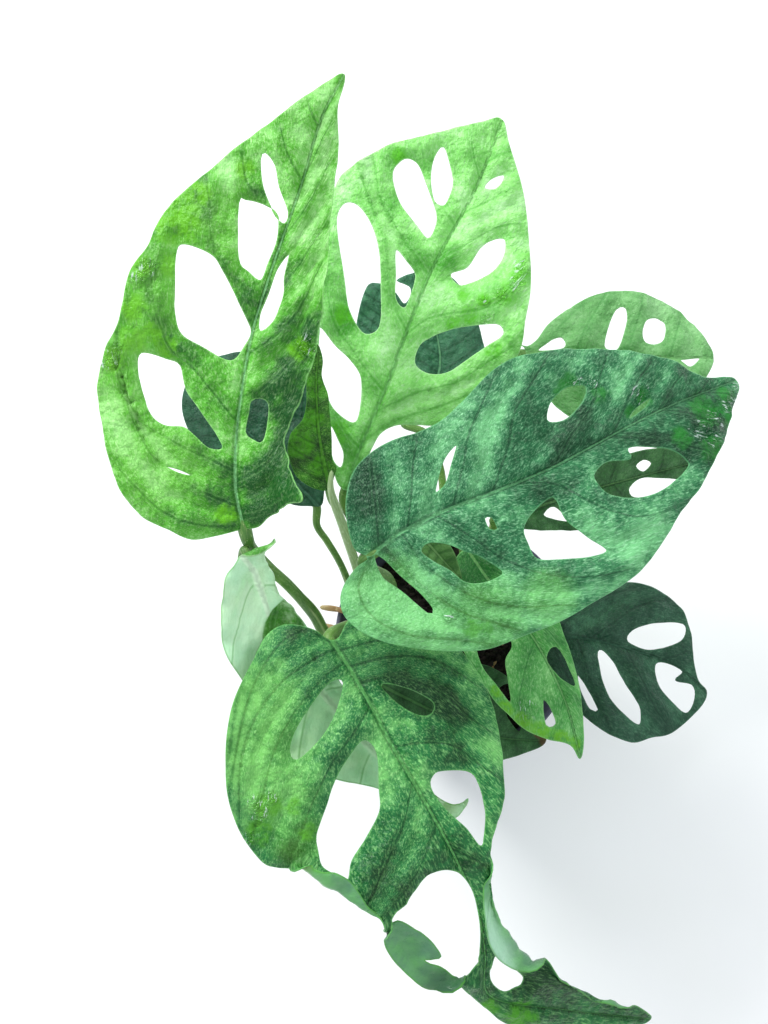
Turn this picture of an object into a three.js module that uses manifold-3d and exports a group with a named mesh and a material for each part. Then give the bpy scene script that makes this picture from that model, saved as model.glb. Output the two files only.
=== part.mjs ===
// A young Swiss cheese plant (Monstera adansonii) in a plain nursery pot. Millimetres, +Z up,
// the origin at the centre of the pot's base. +Y is the back of the plant and +X its right.
import * as THREE from 'three';
import { mergeVertices } from 'three/addons/utils/BufferGeometryUtils.js';
import Module from 'manifold-3d';

const wasm = await Module();
wasm.setup();

// Driving dimensions
const BLADE = 0.8; // thickness of every leaf blade
const GAP = 0.3; // running gap between pieces that touch
const MARGIN_STEP = 7; // spacing of the points along a leaf's margin and its holes
const BLADE_STEP = 11; // spacing of the points inside a blade

const POT = { height: 108, rimRadius: 60, baseRadius: 43, wall: 1.4, foot: 2, sides: 40 };
const LIP = { width: 3, height: 9, edge: 1, top: 1.4 };
const DRAIN = { count: 6, radius: 4, circle: 27, sides: 12 };
const CUT = 5; // how far a cutting solid runs past what it cuts
const SOIL = { edge: 92, crown: 97, rings: 5, sides: 28 };
const LUMPS = { height: 1.6, turn: [0.31, 0.37], phase: [1, 2] }; // sine waves over the soil's crown

// Leaves. Each blade is drawn flat: u runs from its base towards its tip, v to its left as seen
// from above. base, heading, pitch and roll (degrees) place that flat drawing in the pot's frame,
// rib is the midrib's course, fold and cup shape the section, and curls bend or twist the sheet.
const LEAVES = [
  {
    name: 'leaf_back_left',
    colour: '#6faf57',
    base: [-94, 30, 212],
    heading: 76,
    pitch: 21,
    roll: 4,
    fold: 0.05,
    wave: { length: 95, height: 3, phase: 40 },
    rib: [
      [0, 0], [15, 6.5], [34, 10.5], [53, 12.5], [79, 13.5], [103, 11.5], [143, 6.5],
      [168, 4.5], [186, -0.5],
    ],
    curls: [
      { kind: 'bend', at: [0, -3], along: 180, radius: 16, turn: 58 },
    ],
    outline: [
      [-1, 1], [-6, 11], [-9, 19.5], [-7, 29], [-5, 39], [1, 48], [11.5, 57], [26.5, 64.5],
      [41.5, 70.5], [58, 70.5], [73, 66.5], [90.5, 66], [103, 61], [116.5, 58], [128, 52],
      [150.5, 34.5], [166.5, 19.5], [178.5, 9], [186.5, -0.5], [172.5, -1], [158, -4.5], [138, -7],
      [122.5, -10], [102, -16.5], [79.5, -14.5], [64.5, -12], [56, -11], [45, -9], [36, -10.5],
      [27.5, -23.5], [20.5, -40], [16.5, -29], [8.5, -12.5], [2, -6], [0, -1.5],
    ],
    holes: [
      [[18, 36.5], [18, 30.5], [16.5, 25], [16.5, 30.5]],
      [
        [61, 56], [61, 45.5], [59.5, 39.5], [50, 35], [43.5, 27.5], [31.5, 15.5], [29, 20.5],
        [33.5, 29], [35, 33.5], [34, 41.5], [38.5, 48.5], [53, 56],
      ],
      [
        [104, 49.5], [107.5, 47], [106, 36], [101, 30], [84.5, 17], [79.5, 14], [74, 15], [66, 19.5],
        [69, 32.5], [72, 41], [79, 45], [91.5, 47.5],
      ],
      [
        [128.5, 30], [130.5, 27.5], [130, 19], [126.5, 13], [117.5, 11.5], [108, 13], [100.5, 14.5],
        [102.5, 20], [107, 25],
      ],
      [
        [113, 5.5], [104, 5.5], [96.5, 4], [85.5, 6], [80.5, 10.5], [87, 12], [95.5, 10.5],
        [106.5, 9],
      ],
      [
        [147, 25], [150, 23.5], [146, 18.5], [138, 15], [129.5, 9.5], [124.5, 10], [126.5, 14],
        [136.5, 21.5],
      ],
      [[52, 8], [54, 5], [53, 1], [47, -0.5], [37, -0.5], [36.5, 3.5], [39, 7.5], [48, 8]],
    ],
  },
  {
    name: 'leaf_back',
    colour: '#7dba62',
    base: [-52, 53, 190],
    heading: 66,
    pitch: 17,
    roll: 2,
    fold: 0.06,
    wave: { length: 80, height: 3.5, phase: 0 },
    rib: [
      [0, 0], [17, 1.5], [32, 1.5], [49, 1.5], [71, 2.5], [101, 3], [118, 1.5], [135, -0.5],
      [150, -1], [174, 0],
    ],
    outline: [
      [-0.5, 1], [1.5, 5], [7.5, 9.5], [17, 15.5], [26.5, 21.5], [38, 28.5], [49.5, 35], [62.5, 39],
      [76.5, 43.5], [91.5, 49.5], [106.5, 54.5], [122.5, 56], [131.5, 52.5], [138.5, 47],
      [146.5, 39], [156.5, 24], [169.5, 7], [173.5, 0], [164, -7.5], [146, -22], [125, -33.5],
      [110, -40], [97.5, -43], [84.5, -46], [68, -44], [51, -37], [42, -27], [37.5, -15.5],
      [34, -8.5], [28, -4], [17.5, -3], [6.5, -2], [1, -1],
    ],
    holes: [
      [
        [108, 50], [115, 49.5], [116.5, 44], [111.5, 35.5], [101.5, 27], [86, 19.5], [73.5, 14.5],
        [68, 15.5], [66, 20.5], [73, 29.5], [84, 36], [97.5, 44.5],
      ],
      [
        [133, 34.5], [138.5, 35], [143, 31.5], [142.5, 26], [136, 19.5], [126, 10.5], [119.5, 8.5],
        [114.5, 10], [118.5, 17.5], [124.5, 27.5],
      ],
      [
        [144, 20.5], [150.5, 20.5], [153, 18.5], [149, 14.5], [141, 9], [134.5, 8], [130, 9],
        [130.5, 13.5], [137, 18],
      ],
      [[143.5, -4.5], [148, -5.5], [152, -10], [148, -10.5], [144.5, -8.5]],
      [
        [104, -5.5], [109.5, -11], [119, -13], [124.5, -16.5], [126.5, -21.5], [118.5, -24],
        [110, -21.5], [103, -15], [100.5, -10.5],
      ],
      [[104.5, 20.5], [102, 14.5], [98, 8.5], [89.5, 7], [83, 7.5], [85, 12.5], [94.5, 16.5]],
      [
        [61, 38.5], [56.5, 29.5], [53, 20.5], [47.5, 13], [36, 8.5], [29, 7.5], [28, 12], [31.5, 21],
        [42, 30.5], [51.5, 36],
      ],
      [
        [62.5, -6], [70.5, -5], [76.5, -9], [83, -16.5], [89.5, -28.5], [91, -34.5], [87.5, -37],
        [80.5, -32], [70.5, -25.5], [63.5, -20], [60.5, -12.5],
      ],
      [[23, 17], [19, 12], [14, 7], [8, 6], [9, 10], [15, 14]],
    ],
  },
  {
    name: 'leaf_top',
    colour: '#4a8f5e',
    base: [-40, 19, 213],
    heading: 26,
    pitch: 1,
    roll: 8,
    fold: 0.07,
    wave: { length: 90, height: 2.5, phase: 90 },
    rib: [[0, 0], [12, 2.5], [22, 3], [36, 3], [67, 0.5], [86, 0], [127, 2], [151, 2.5], [188, 1]],
    curls: [
      { kind: 'bend', at: [100, 0], along: -90, radius: 120, turn: -22 },
    ],
    outline: [
      [-3, 0.5], [-6, 5.5], [-3.5, 18], [1.5, 27.5], [8.5, 34.5], [18, 38], [27.5, 39], [39, 37.5],
      [50, 37.5], [62, 41], [77, 46.5], [88, 48], [98, 46.5], [114, 42], [131.5, 35], [145.5, 27],
      [159, 17.5], [171, 8], [188, 1], [175.5, -10.5], [163.5, -20], [140, -34], [122, -41.5],
      [102, -52], [87.5, -56], [71.5, -57.5], [56, -58.5], [38, -57], [25, -55.5], [12.5, -50.5],
      [1, -44], [-9.5, -36.5], [-17.5, -28], [-21.5, -19], [-20.5, -12], [-16, -6.5], [-8.5, -2.5],
      [-3, -1.5],
    ],
    holes: [
      [[51, 25.5], [46, 19.5], [40, 13], [34.5, 11.5], [38, 16.5], [44.5, 23]],
      [
        [112.5, 24.5], [109.5, 20.5], [103, 17], [96.5, 15.5], [91, 17.5], [91, 20.5], [95, 25],
        [103.5, 28], [109.5, 27],
      ],
      [[137.5, 9], [133, 6], [124, 4.5], [128.5, 7.5]],
      [
        [97, -12], [101, -8.5], [106.5, -8], [115, -11], [116.5, -6.5], [124, -9], [134, -14],
        [141.5, -22.5], [135.5, -26.5], [119, -29], [106.5, -26], [99, -20.5],
      ],
      [
        [60.5, -18.5], [66, -14], [76, -11], [78.5, -13], [78.5, -23], [82.5, -32], [87, -41],
        [79.5, -40.5], [68, -36], [60, -31.5], [59.5, -24.5],
      ],
      [[48, -7], [51, -8], [51, -13.5], [48, -12]],
      [
        [18, -8], [22.5, -6], [29.5, -10], [34.5, -15.5], [40, -21], [45, -30], [41, -31.5],
        [34, -30.5], [28.5, -27], [25.5, -20.5], [21, -14.5],
      ],
      [[0, -1], [3, -4], [6, -13], [10, -23], [12, -31.5], [9, -32], [3.5, -19.5], [-1, -10.5]],
    ],
  },
  {
    name: 'leaf_front',
    colour: '#3d8049',
    base: [-57, -15, 192],
    heading: -60,
    pitch: -9,
    roll: -5,
    fold: 0.04,
    cup: 1,
    wave: { length: 100, height: 3, phase: 0 },
    rib: [
      [0, 0], [20, 1], [51, 0.5], [84, 1], [109, 0.5], [133, -1.5], [152, -6], [175, -12],
      [207, 14], [249, 53],
    ],
    curls: [
      { kind: 'twist', from: [110, -37], to: [157, -21], turn: 180, reach: 12.5, ramp: 0.13 },
      {
        kind: 'bend',
        at: [110, -37],
        along: -160,
        radius: 1.1,
        turn: 165,
        span: 45,
        ramp: 0.12,
        bow: 1.2,
      },
      {
        kind: 'bend',
        at: [110, 12.5],
        along: -2.7,
        radius: 2,
        turn: 165,
        span: 64,
        ramp: 0.15,
        bow: -6.5,
      },
      { kind: 'bend', at: [172, 10], along: 28.5, radius: 2, turn: 120, span: 76 },
      { kind: 'bend', at: [85, 0], along: -90, radius: 110, turn: -30 },
    ],
    outline: [
      [-2, -1], [-8.5, -4.5], [-14, -10], [-17, -16], [-16, -23.5], [-10, -32.5], [-4.5, -41],
      [2, -49], [11, -56.5], [21, -62.5], [31.5, -67.5], [42, -70], [52, -70.5], [63.5, -68.5],
      [68, -65], [71, -60.5], [72.8, -55.5], [75.5, -53.5], [80, -54], [84, -55.5], [88.5, -55],
      [94, -52.5], [101, -46.5], [106, -43], [110, -38.5], [113.5, -38.5], [120, -38], [128, -36.5],
      [136, -33.5], [142, -29.5], [140, -27.5], [135.5, -26], [139, -25], [144.5, -25], [154, -22],
      [160, -21.5], [171.5, -18.5], [183, -15], [198, -8.5], [217.5, 10], [237, 32], [249, 53],
      [226, 44.5], [207.5, 35.5], [187.5, 24.5], [178, 18.5], [170, 16.5], [162, 17.5], [148, 19.5],
      [136, 19], [127, 18.5], [120, 18], [115, 15], [110.5, 14], [106, 17], [101, 21.5], [92, 30.5],
      [81.5, 37.5], [72, 42], [63.5, 45.5], [52, 48], [39.5, 48], [27, 45], [15, 39], [4.5, 30],
      [-3.5, 20], [-5, 11], [-0.5, 3],
    ],
    holes: [
      [
        [15.5, -4.5], [20, -7], [28.5, -17], [33, -28], [34.5, -37], [30, -38], [23.5, -32],
        [17, -19.5], [13.5, -9],
      ],
      [[26, 8.5], [26.5, 12], [34.5, 20], [43.5, 25], [47, 21], [43.5, 15.5], [34.5, 10.5]],
      [
        [42.5, -14], [42, -8], [48.5, -6.5], [61.5, -12.5], [70.5, -17.5], [77, -27.5], [82, -37],
        [87.5, -42.5], [82, -46.5], [77, -48.8], [72, -47.5], [65, -44.5], [57.5, -36], [49, -26.5],
      ],
      [
        [69.5, 14], [75.5, 23.5], [82.5, 24.5], [93, 21], [102.5, 15.5], [104, 12], [95, 10.5],
        [82.5, 6.5], [72.5, 6], [69, 9.5],
      ],
      [
        [110, -34.5], [107, -26], [103.5, -15], [104, -7], [109, -1], [119, 1], [131, -1],
        [141, -4], [150, -8.5], [155, -14], [156, -18], [153, -17], [145, -14], [134.5, -16.5],
        [124, -21], [116.5, -26], [112.5, -31],
      ],
      [
        [156.5, -3], [162, 0.5], [171, 3.5], [177.5, 5], [180.5, 2.5], [178, -3.5], [173, -8],
        [165, -8.5],
      ],
    ],
  },
  {
    name: 'leaf_curled',
    colour: '#a9c191',
    base: [-83, 19, 206],
    heading: -48,
    pitch: -39,
    roll: 180,
    fold: 0,
    cup: 1.5,
    wave: { length: 60, height: 1.5, phase: 0 },
    rib: [[0, 9], [10, 12.5], [24, 17], [60, 20], [100, 20], [130, 15], [143.5, 4]],
    curls: [
      {
        kind: 'bend',
        at: [118, 14.5],
        along: 183.5,
        radius: 6,
        turn: 170,
        span: 125,
        ramp: 0.12,
        bow: -4.5,
      },
      { kind: 'bend', at: [-3, -6], along: 112, radius: 1.2, turn: -150 },
      { kind: 'bend', at: [32, 0], along: -90, radius: 70, turn: -22 },
    ],
    outline: [
      [-6.5, -5], [-10.5, 0], [-12, 6], [-8.5, 12], [-5.5, 20.5], [1, 26.5], [9, 33.5], [20.5, 40],
      [33.5, 42], [47.5, 44], [60, 47], [71, 48.5], [80, 48], [88.5, 44.5], [96.5, 39.5],
      [104.5, 34], [113, 28.5], [128, 22], [139, 16.5], [144.5, 13], [146, 10], [145.5, 6.5],
      [143.5, 2], [142.5, 6.5], [139, 10], [130, 12.5], [118, 12], [107, 5], [97, -6], [83, -11],
      [67, -14], [52, -17.5], [38, -19], [27, -17], [20, -8], [15, 0], [8, -1], [2, -3.5], [-2, -6],
    ],
    holes: [
      [
        [27.5, 24.5], [23.5, 21.5], [19.5, 15], [19.5, 10], [21.5, 5], [26.5, 2.5], [33, 3],
        [38, 7], [39, 14], [34.5, 21.5],
      ],
    ],
  },
  {
    name: 'leaf_back_right',
    colour: '#66a152',
    base: [33, 131, 160],
    heading: 1,
    pitch: -6,
    roll: -8,
    fold: 0.05,
    wave: { length: 50, height: 2, phase: 0 },
    rib: [[0, 0], [17, 2.5], [42, 1], [71, -0.5], [95, 0]],
    outline: [
      [0.5, 1.5], [-2.5, 4], [1, 3], [6.5, 7], [13, 16], [21.5, 23.5], [33.5, 32], [46.5, 34.5],
      [62.5, 34], [79.5, 27.5], [90.5, 12.5], [95, 0.5], [89, -12], [78, -24.5], [61.5, -37.5],
      [46, -42], [30, -40.5], [14, -33.5], [5, -20.5], [0.5, -7.5],
    ],
    holes: [
      [[7, 1.5], [12, 6], [19, 9.5], [20, 3.5]],
      [[40, 5], [43, 15.5], [47.5, 24.5], [52.5, 25], [52.5, 17], [47, 3.5], [43, 2.5]],
      [[59.5, 11.5], [62, 18.5], [68, 21.5], [73, 19], [71, 9.5], [65.5, 6], [61, 7]],
      [[77.5, -2.5], [80, -1.5], [88, -0.5], [82, -6]],
    ],
  },
  {
    name: 'leaf_under_top',
    colour: '#3f6e40',
    base: [22, 50, 150],
    heading: 16,
    pitch: 4,
    roll: 38,
    fold: 0.05,
    rib: [[0, 0], [27, 1.5], [57, 1.5], [94, 0]],
    outline: [
      [-0.5, 2.5], [4.5, 10], [17.5, 14.5], [32.5, 16], [44.5, 14.5], [55.5, 14], [70.5, 14],
      [82.5, 10.5], [94, 0], [86, -10.5], [74, -15.5], [58.5, -17.5], [43.5, -18], [29, -15.5],
      [15, -10.5], [4, -5],
    ],
    holes: [
      [[66, 7], [70, 9.5], [73.5, 6.5], [69, 3]],
      [[61, -2.5], [69.5, 0], [85, -6.5], [75, -9.5], [62.5, -8.5]],
      [[18, -3], [24, -1], [29.5, -10.5], [23, -8]],
    ],
  },
  {
    name: 'leaf_right',
    colour: '#2d5c44',
    base: [43, -2, 124],
    heading: -20,
    pitch: 0,
    roll: -4,
    fold: 0.06,
    wave: { length: 45, height: 2, phase: 60 },
    rib: [[0, 0], [18, 5.5], [38, 8], [66, 7.5], [81, 0.5]],
    outline: [
      [-1, 2], [-0.5, 11], [6, 23], [17.5, 34], [29.5, 39.5], [44, 40], [58.5, 36.5], [65.5, 27],
      [70.5, 14.5], [75.5, 5], [81, 0.5], [78.5, -9.5], [70, -23.5], [61, -29.5], [52, -35.5],
      [39, -34.5], [28, -30], [17.5, -24], [6.5, -14.5], [0, -4.5],
    ],
    holes: [
      [
        [38.5, 11.5], [38.5, 17], [46.5, 23.5], [59.5, 29.5], [63.5, 27.5], [63, 21], [57.5, 15.5],
        [48.5, 10.5],
      ],
      [
        [26.5, -1], [27.5, 3], [35, -1], [42, -8.5], [51.5, -17.5], [54, -26], [45.5, -24],
        [35, -16],
      ],
      [
        [54, 5.5], [59.5, 8], [67.5, 6.5], [65, 1], [73.5, 2], [76, -4], [74, -12.5], [63.5, -8.5],
        [56.5, -2.5],
      ],
      [[20, -13], [26, -16.5], [34, -25.5], [30.5, -26.5], [24.5, -20.5]],
    ],
  },
  {
    name: 'leaf_front_young',
    colour: '#4e9a4c',
    base: [6, 38, 132],
    heading: -64,
    pitch: 3,
    roll: 0,
    fold: 0.06,
    wave: { length: 50, height: 2, phase: 0 },
    rib: [[0, 0], [16, 2], [52, 8], [84, 7], [109, 1]],
    outline: [
      [-1.5, -0.5], [-0.5, -6], [6, -14.5], [16, -21], [28.5, -24], [43.5, -24.5], [57.5, -24],
      [70, -22.5], [79.5, -19], [87.5, -15.5], [95, -9.5], [102.5, -0.5], [110, 0.5], [103.5, 6],
      [92, 11.5], [82.5, 15.5], [68, 19.5], [55, 21.5], [40.5, 23.5], [24.5, 21.5], [10.5, 14],
      [2, 5],
    ],
    holes: [
      [
        [34.5, -15], [32.5, -8], [38, -3], [49.5, -2.5], [55, -9], [64, -12.5], [73.5, -16.5],
        [63, -19], [50.5, -20.5],
      ],
      [[59, 13], [62, 16.5], [79.5, 15], [74.5, 10.5], [63.5, 8.5]],
      [[79, -2], [84.5, -0.5], [91.5, -2], [90, -6.5]],
    ],
  },
  {
    name: 'leaf_folded',
    colour: '#4f9a2b',
    base: [-59, 51, 200],
    heading: 95,
    pitch: 12,
    roll: 6,
    fold: 0.1,
    rib: [[0, 0], [11.5, 1.5], [23, 2.5], [33, 2.5], [45, 2], [53.5, 1], [62.5, 0]],
    outline: [
      [-1, 1.5], [1, -1], [4, -2], [8.5, -3.5], [12, -2], [22, -2.5], [31.5, -2.5], [40, -2.5],
      [46, -1], [49.5, -0.5], [55, -1.5], [59.5, -1], [62.5, 0], [60.5, 2], [54.5, 4.5], [45.5, 6],
      [36, 7], [30, 9], [27, 12], [23.5, 15], [17, 16.5], [10.5, 15.5], [5.5, 13.5], [1.5, 9],
      [-0.5, 4.5],
    ],
  },
  {
    name: 'leaf_behind_left',
    colour: '#3a6348',
    base: [-68, 53, 172],
    heading: 131,
    pitch: 7,
    roll: 0,
    fold: 0.06,
    wave: { length: 50, height: 2, phase: 0 },
    rib: [[0, 0], [35, 2], [80, 0.5]],
    outline: [
      [-2, 1.5], [5.5, 9], [18.5, 14.5], [37, 21], [54, 23.5], [69.5, 19], [78.5, 10], [81.5, -1],
      [78.5, -13], [70, -24], [58, -32.5], [45, -35], [36.5, -31], [28.5, -25.5], [20, -20],
      [12, -15], [4, -10], [-2, -4.5], [-4, -1.5],
    ],
  },
  {
    name: 'leaf_behind',
    colour: '#3a6a42',
    base: [-22, 104, 150],
    heading: 87,
    pitch: 10,
    roll: 0,
    fold: 0.06,
    wave: { length: 55, height: 2, phase: 0 },
    rib: [[0, 0], [19, -12], [39, -10.5], [58, -3.5], [68, 3]],
    outline: [
      [-1, 1], [2.5, 9.5], [14.5, 19], [29.5, 27], [40, 29], [51, 27.5], [61.5, 24], [62.5, 19.5],
      [60.5, 14.5], [58, 10.5], [53, 6.5], [57, 3.5], [61.5, 3.5], [63.5, 7], [64.5, 10.5], [67, 7],
      [69.5, 1.5], [70.5, -9.5], [64, -19.5], [53, -27], [40, -32], [28, -34.5], [14, -31],
      [4, -22.5], [-1, -10],
    ],
  },
  {
    name: 'leaf_low_front',
    colour: '#2f5a34',
    base: [-41, -23, 118],
    heading: -18,
    pitch: -3,
    roll: 0,
    fold: 0.05,
    wave: { length: 50, height: 2, phase: 0 },
    rib: [[0, 0], [32, -4.5], [62, -7], [89, -1]],
    outline: [
      [-1.5, 0.5], [0.5, 7], [9.5, 13.5], [23, 19.5], [40, 23.5], [56, 23.5], [69.5, 18.5], [80, 9],
      [88.5, -1], [79, -10.5], [67.5, -18], [54.5, -25.5], [40, -30.5], [24, -28], [9.5, -17.5],
      [1, -7],
    ],
    holes: [
      [[59, 15], [64, 19.5], [71.5, 11.5], [75.5, -0.5], [69.5, 2], [63.5, 8]],
    ],
  },
  {
    name: 'leaf_small',
    colour: '#4c7c3c',
    base: [-24, 49, 150],
    heading: -50,
    pitch: 0,
    roll: 0,
    fold: 0.05,
    rib: [[0, 0], [38, 0.5]],
    outline: [
      [-2, 0], [2, -4.5], [11, -7], [21, -6], [30.5, -2.5], [37.5, 0.5], [31.5, 4], [22, 7], [12, 7],
      [3, 5],
    ],
  },
];

// Stems: the course of each one's centre, from its blind end in the soil to its top. Each stands
// upright in the soil and leans only above it.
const STEM_RADIUS = 4.5;
const STEM_SIDES = 8;
const STEMS = {
  stem_left: [[-29, -4, 62], [-29, -4, 84], [-29, -4, 104], [-32, -2, 128], [-34, 0, 148]],
  stem_right: [[8, 4, 62], [8, 4, 80], [8, 4, 101], [9, 6, 120]],
};

// Leaf stalks: each leaves its stem at a height and passes through the points of its course
// before it meets the back of its blade, or its face where face is 1, and runs on along the
// midrib by overlap.
const STALK_SIDES = 6;
const STALKS = {
  leaf_back_left: {
    stem: 'stem_left',
    height: 127,
    radius: 2.6,
    via: [
      [-46, -10, 136], [-60.5, -7, 145], [-68, 3, 160], [-77.5, 12, 180], [-85, 18, 187],
      [-91.5, 24, 198.5],
    ],
  },
  leaf_back: {
    stem: 'stem_left',
    height: 141,
    radius: 2.2,
    via: [[-38, 14, 158], [-46, 35, 177]],
  },
  leaf_top: {
    stem: 'stem_left',
    height: 147,
    radius: 2.4,
    via: [[-31, 7, 168], [-34, 13, 192]],
  },
  leaf_front: {
    stem: 'stem_left',
    height: 135,
    radius: 2.4,
    overlap: 2.5,
    via: [[-44, -4, 152], [-52, -6, 180]],
  },
  leaf_curled: {
    stem: 'stem_left',
    height: 112,
    radius: 1.8,
    face: 1,
    overlap: 2.5,
    via: [
      [-48, -15, 124], [-64, -18, 146], [-72, -10, 154.5], [-83, 1, 170], [-91, 11.5, 184],
      [-96, 18.5, 197], [-94, 22, 205.5],
    ],
  },
  leaf_folded: {
    stem: 'stem_left',
    height: 126,
    radius: 1.6,
    via: [[-42, 12, 140], [-48.5, 26, 156], [-52, 33, 173], [-56.5, 44.5, 190]],
  },
  leaf_behind_left: {
    stem: 'stem_left',
    height: 117,
    radius: 1.7,
    overlap: 2.5,
    via: [[-46, 8, 126], [-56, 29, 145], [-62, 37.5, 157], [-66.5, 43.5, 164]],
  },
  leaf_low_front: {
    stem: 'stem_left',
    height: 106,
    radius: 1.8,
    via: [[-40, -14, 109.5], [-46, -20, 113]],
  },
  leaf_back_right: {
    stem: 'stem_right',
    height: 106,
    radius: 2.2,
    via: [[14, 30, 118], [22, 70, 136], [27, 105, 150]],
  },
  leaf_under_top: {
    stem: 'stem_right',
    height: 113,
    radius: 1.8,
    via: [[13, 22, 120], [18, 41, 130], [18, 49, 141]],
  },
  leaf_right: {
    stem: 'stem_right',
    height: 103,
    radius: 2,
    via: [[20, 3, 109], [32, 2, 117]],
  },
  leaf_front_young: {
    stem: 'stem_right',
    height: 118,
    radius: 1.8,
    via: [[5, 20, 122], [4, 32, 127]],
  },
  leaf_behind: {
    stem: 'stem_right',
    height: 110,
    radius: 2,
    via: [[-4, 28, 121], [-6, 58, 134], [-8, 78, 141], [-15, 94, 146]],
  },
  leaf_small: {
    stem: 'stem_right',
    height: 107,
    radius: 1.5,
    via: [[-8, 16, 118], [-20, 36, 136]],
  },
};

// The youngest leaf is still rolled: a spear whose radius changes along its course.
const SPEAR = {
  name: 'leaf_rolled',
  stem: 'stem_left',
  height: 133,
  sides: 8,
  via: [
    [-44, 12, 154], [-49, 25.5, 170], [-54, 37, 195], [-56.5, 42.5, 203], [-58, 48, 209],
    [-57.5, 54.5, 214],
  ],
  radii: [1.6, 1.9, 2, 2.1, 2.2, 2, 0.8],
};

// Short aerial roots that rest on the pot's rim.
const ROOT_SIDES = 6;
const ROOTS = {
  aerial_root_1: {
    stem: 'stem_left',
    height: 104,
    radius: 1.6,
    via: [[-47, 9, 108.2], [-57.2, 13.2, 110], [-68, 15, 108.6]],
  },
  aerial_root_2: {
    stem: 'stem_left',
    height: 99.6,
    radius: 1.8,
    via: [[-47, 1, 108.2], [-58.6, 3.2, 110.2], [-66, 6, 108.6]],
  },
  aerial_root_3: {
    stem: 'stem_left',
    height: 104,
    radius: 1.7,
    via: [[-47, -7.5, 107.8], [-58.3, -7.2, 110.1], [-74, -4, 107.6]],
  },
};

const rad = THREE.MathUtils.degToRad;
const smooth = (x) => THREE.MathUtils.smoothstep(x, 0, 1);

// The midrib's sideways offset at u: a cubic through the rib's points.
function ribAt(rib, u) {
  const last = rib.length - 1;
  const slope = (i) => {
    const [a, b] = [rib[Math.max(i - 1, 0)], rib[Math.min(i + 1, last)]];
    return (b[1] - a[1]) / (b[0] - a[0]);
  };
  let i = 0;
  while (i < last - 1 && u >= rib[i + 1][0]) i += 1;
  const span = rib[i + 1][0] - rib[i][0];
  const t = THREE.MathUtils.clamp((u - rib[i][0]) / span, 0, 1);
  const rest = 1 - t;
  const ends = rib[i][1] * (1 + 2 * t) * rest * rest + rib[i + 1][1] * (3 - 2 * t) * t * t;
  return ends + span * (slope(i) * t * rest * rest - slope(i + 1) * t * t * rest);
}

// Rolls what lies to the left of a line up by turn degrees, on a cylinder of the given radius.
// Over a span the line may bow out to its left, and the roll fades in and out at its ends.
function bend(p, { at, along, radius, turn, span, ramp = 0.25, bow = 0 }) {
  const e = new THREE.Vector3(Math.cos(rad(along)), Math.sin(rad(along)), 0);
  const m = new THREE.Vector3(-e.y, e.x, 0);
  const q = p.clone().sub(new THREE.Vector3(at[0], at[1], 0));
  const s = q.dot(e);
  const share = span ? s / span : 0;
  const sag = 4 * bow * Math.max(share * (1 - share), 0);
  const d = q.dot(m) - sag;
  const sign = Math.sign(turn);
  let limit = Math.abs(rad(turn));
  if (span) limit *= smooth(share / ramp) * smooth((1 - share) / ramp);
  const angle = THREE.MathUtils.clamp(d / radius, 0, limit);
  const rest = d > 0 ? d - radius * angle : 0;
  const arm = radius - q.z * sign;
  const across = d > 0 ? arm * Math.sin(angle) + rest * Math.cos(angle) : d;
  const up = d > 0 ? radius - arm * Math.cos(angle) + rest * Math.sin(angle) : q.z * sign;
  const foot = new THREE.Vector3(at[0], at[1], up * sign);
  return foot.addScaledVector(e, s).addScaledVector(m, across + sag);
}

// Turns the strip within reach of a line over about that line, fading in and out at its ends.
function twist(p, { from, to, turn, reach, ramp }) {
  const start = new THREE.Vector3(from[0], from[1], 0);
  const e = new THREE.Vector3(to[0], to[1], 0).sub(start);
  const length = e.length();
  e.normalize();
  const m = new THREE.Vector3(-e.y, e.x, 0);
  const q = p.clone().sub(start);
  const s = q.dot(e);
  const d = q.dot(m);
  if (Math.abs(d) > reach) return p;
  const angle = rad(turn) * smooth(s / length / ramp) * smooth((1 - s / length) / ramp);
  const across = d * Math.cos(angle) - q.z * Math.sin(angle);
  const up = d * Math.sin(angle) + q.z * Math.cos(angle);
  return start.addScaledVector(e, s).addScaledVector(m, across).add(new THREE.Vector3(0, 0, up));
}

// The leaf's own frame: along the blade, to its left, and up out of its face.
function leafAxes({ heading, pitch, roll }) {
  const [h, p, r] = [rad(heading), rad(pitch), rad(roll)];
  const along = new THREE.Vector3(Math.cos(p) * Math.cos(h), Math.cos(p) * Math.sin(h), Math.sin(p));
  const level = new THREE.Vector3(-Math.sin(h), Math.cos(h), 0);
  const raised = along.clone().cross(level);
  const left = level.clone().multiplyScalar(Math.cos(r)).addScaledVector(raised, Math.sin(r));
  return [along, left, along.clone().cross(left)];
}

// A point of the blade's middle surface for the flat point (u, v).
function leafPoint(leaf, u, v) {
  const off = v - ribAt(leaf.rib, u);
  const crease = 4;
  const fullWave = 25;
  let rise = leaf.fold * (Math.hypot(off, crease) - crease) - ((leaf.cup ?? 0) * off * off) / 1000;
  if (leaf.wave) {
    const phase = (2 * Math.PI * u) / leaf.wave.length + rad(leaf.wave.phase) + (off > 0 ? 1 : 0);
    rise += leaf.wave.height * Math.sin(phase) * Math.min(1, (off / fullWave) ** 2);
  }
  let p = new THREE.Vector3(u, v, rise);
  for (const curl of leaf.curls ?? []) p = curl.kind === 'twist' ? twist(p, curl) : bend(p, curl);
  const [along, left, up] = leafAxes(leaf);
  return new THREE.Vector3(...leaf.base)
    .addScaledVector(along, p.x)
    .addScaledVector(left, p.y)
    .addScaledVector(up, p.z);
}

// The face's normal there, from its neighbours.
function leafNormal(leaf, u, v) {
  const h = 0.4;
  const du = leafPoint(leaf, u + h, v).sub(leafPoint(leaf, u - h, v));
  const dv = leafPoint(leaf, u, v + h).sub(leafPoint(leaf, u, v - h));
  return du.cross(dv).normalize();
}

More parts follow.
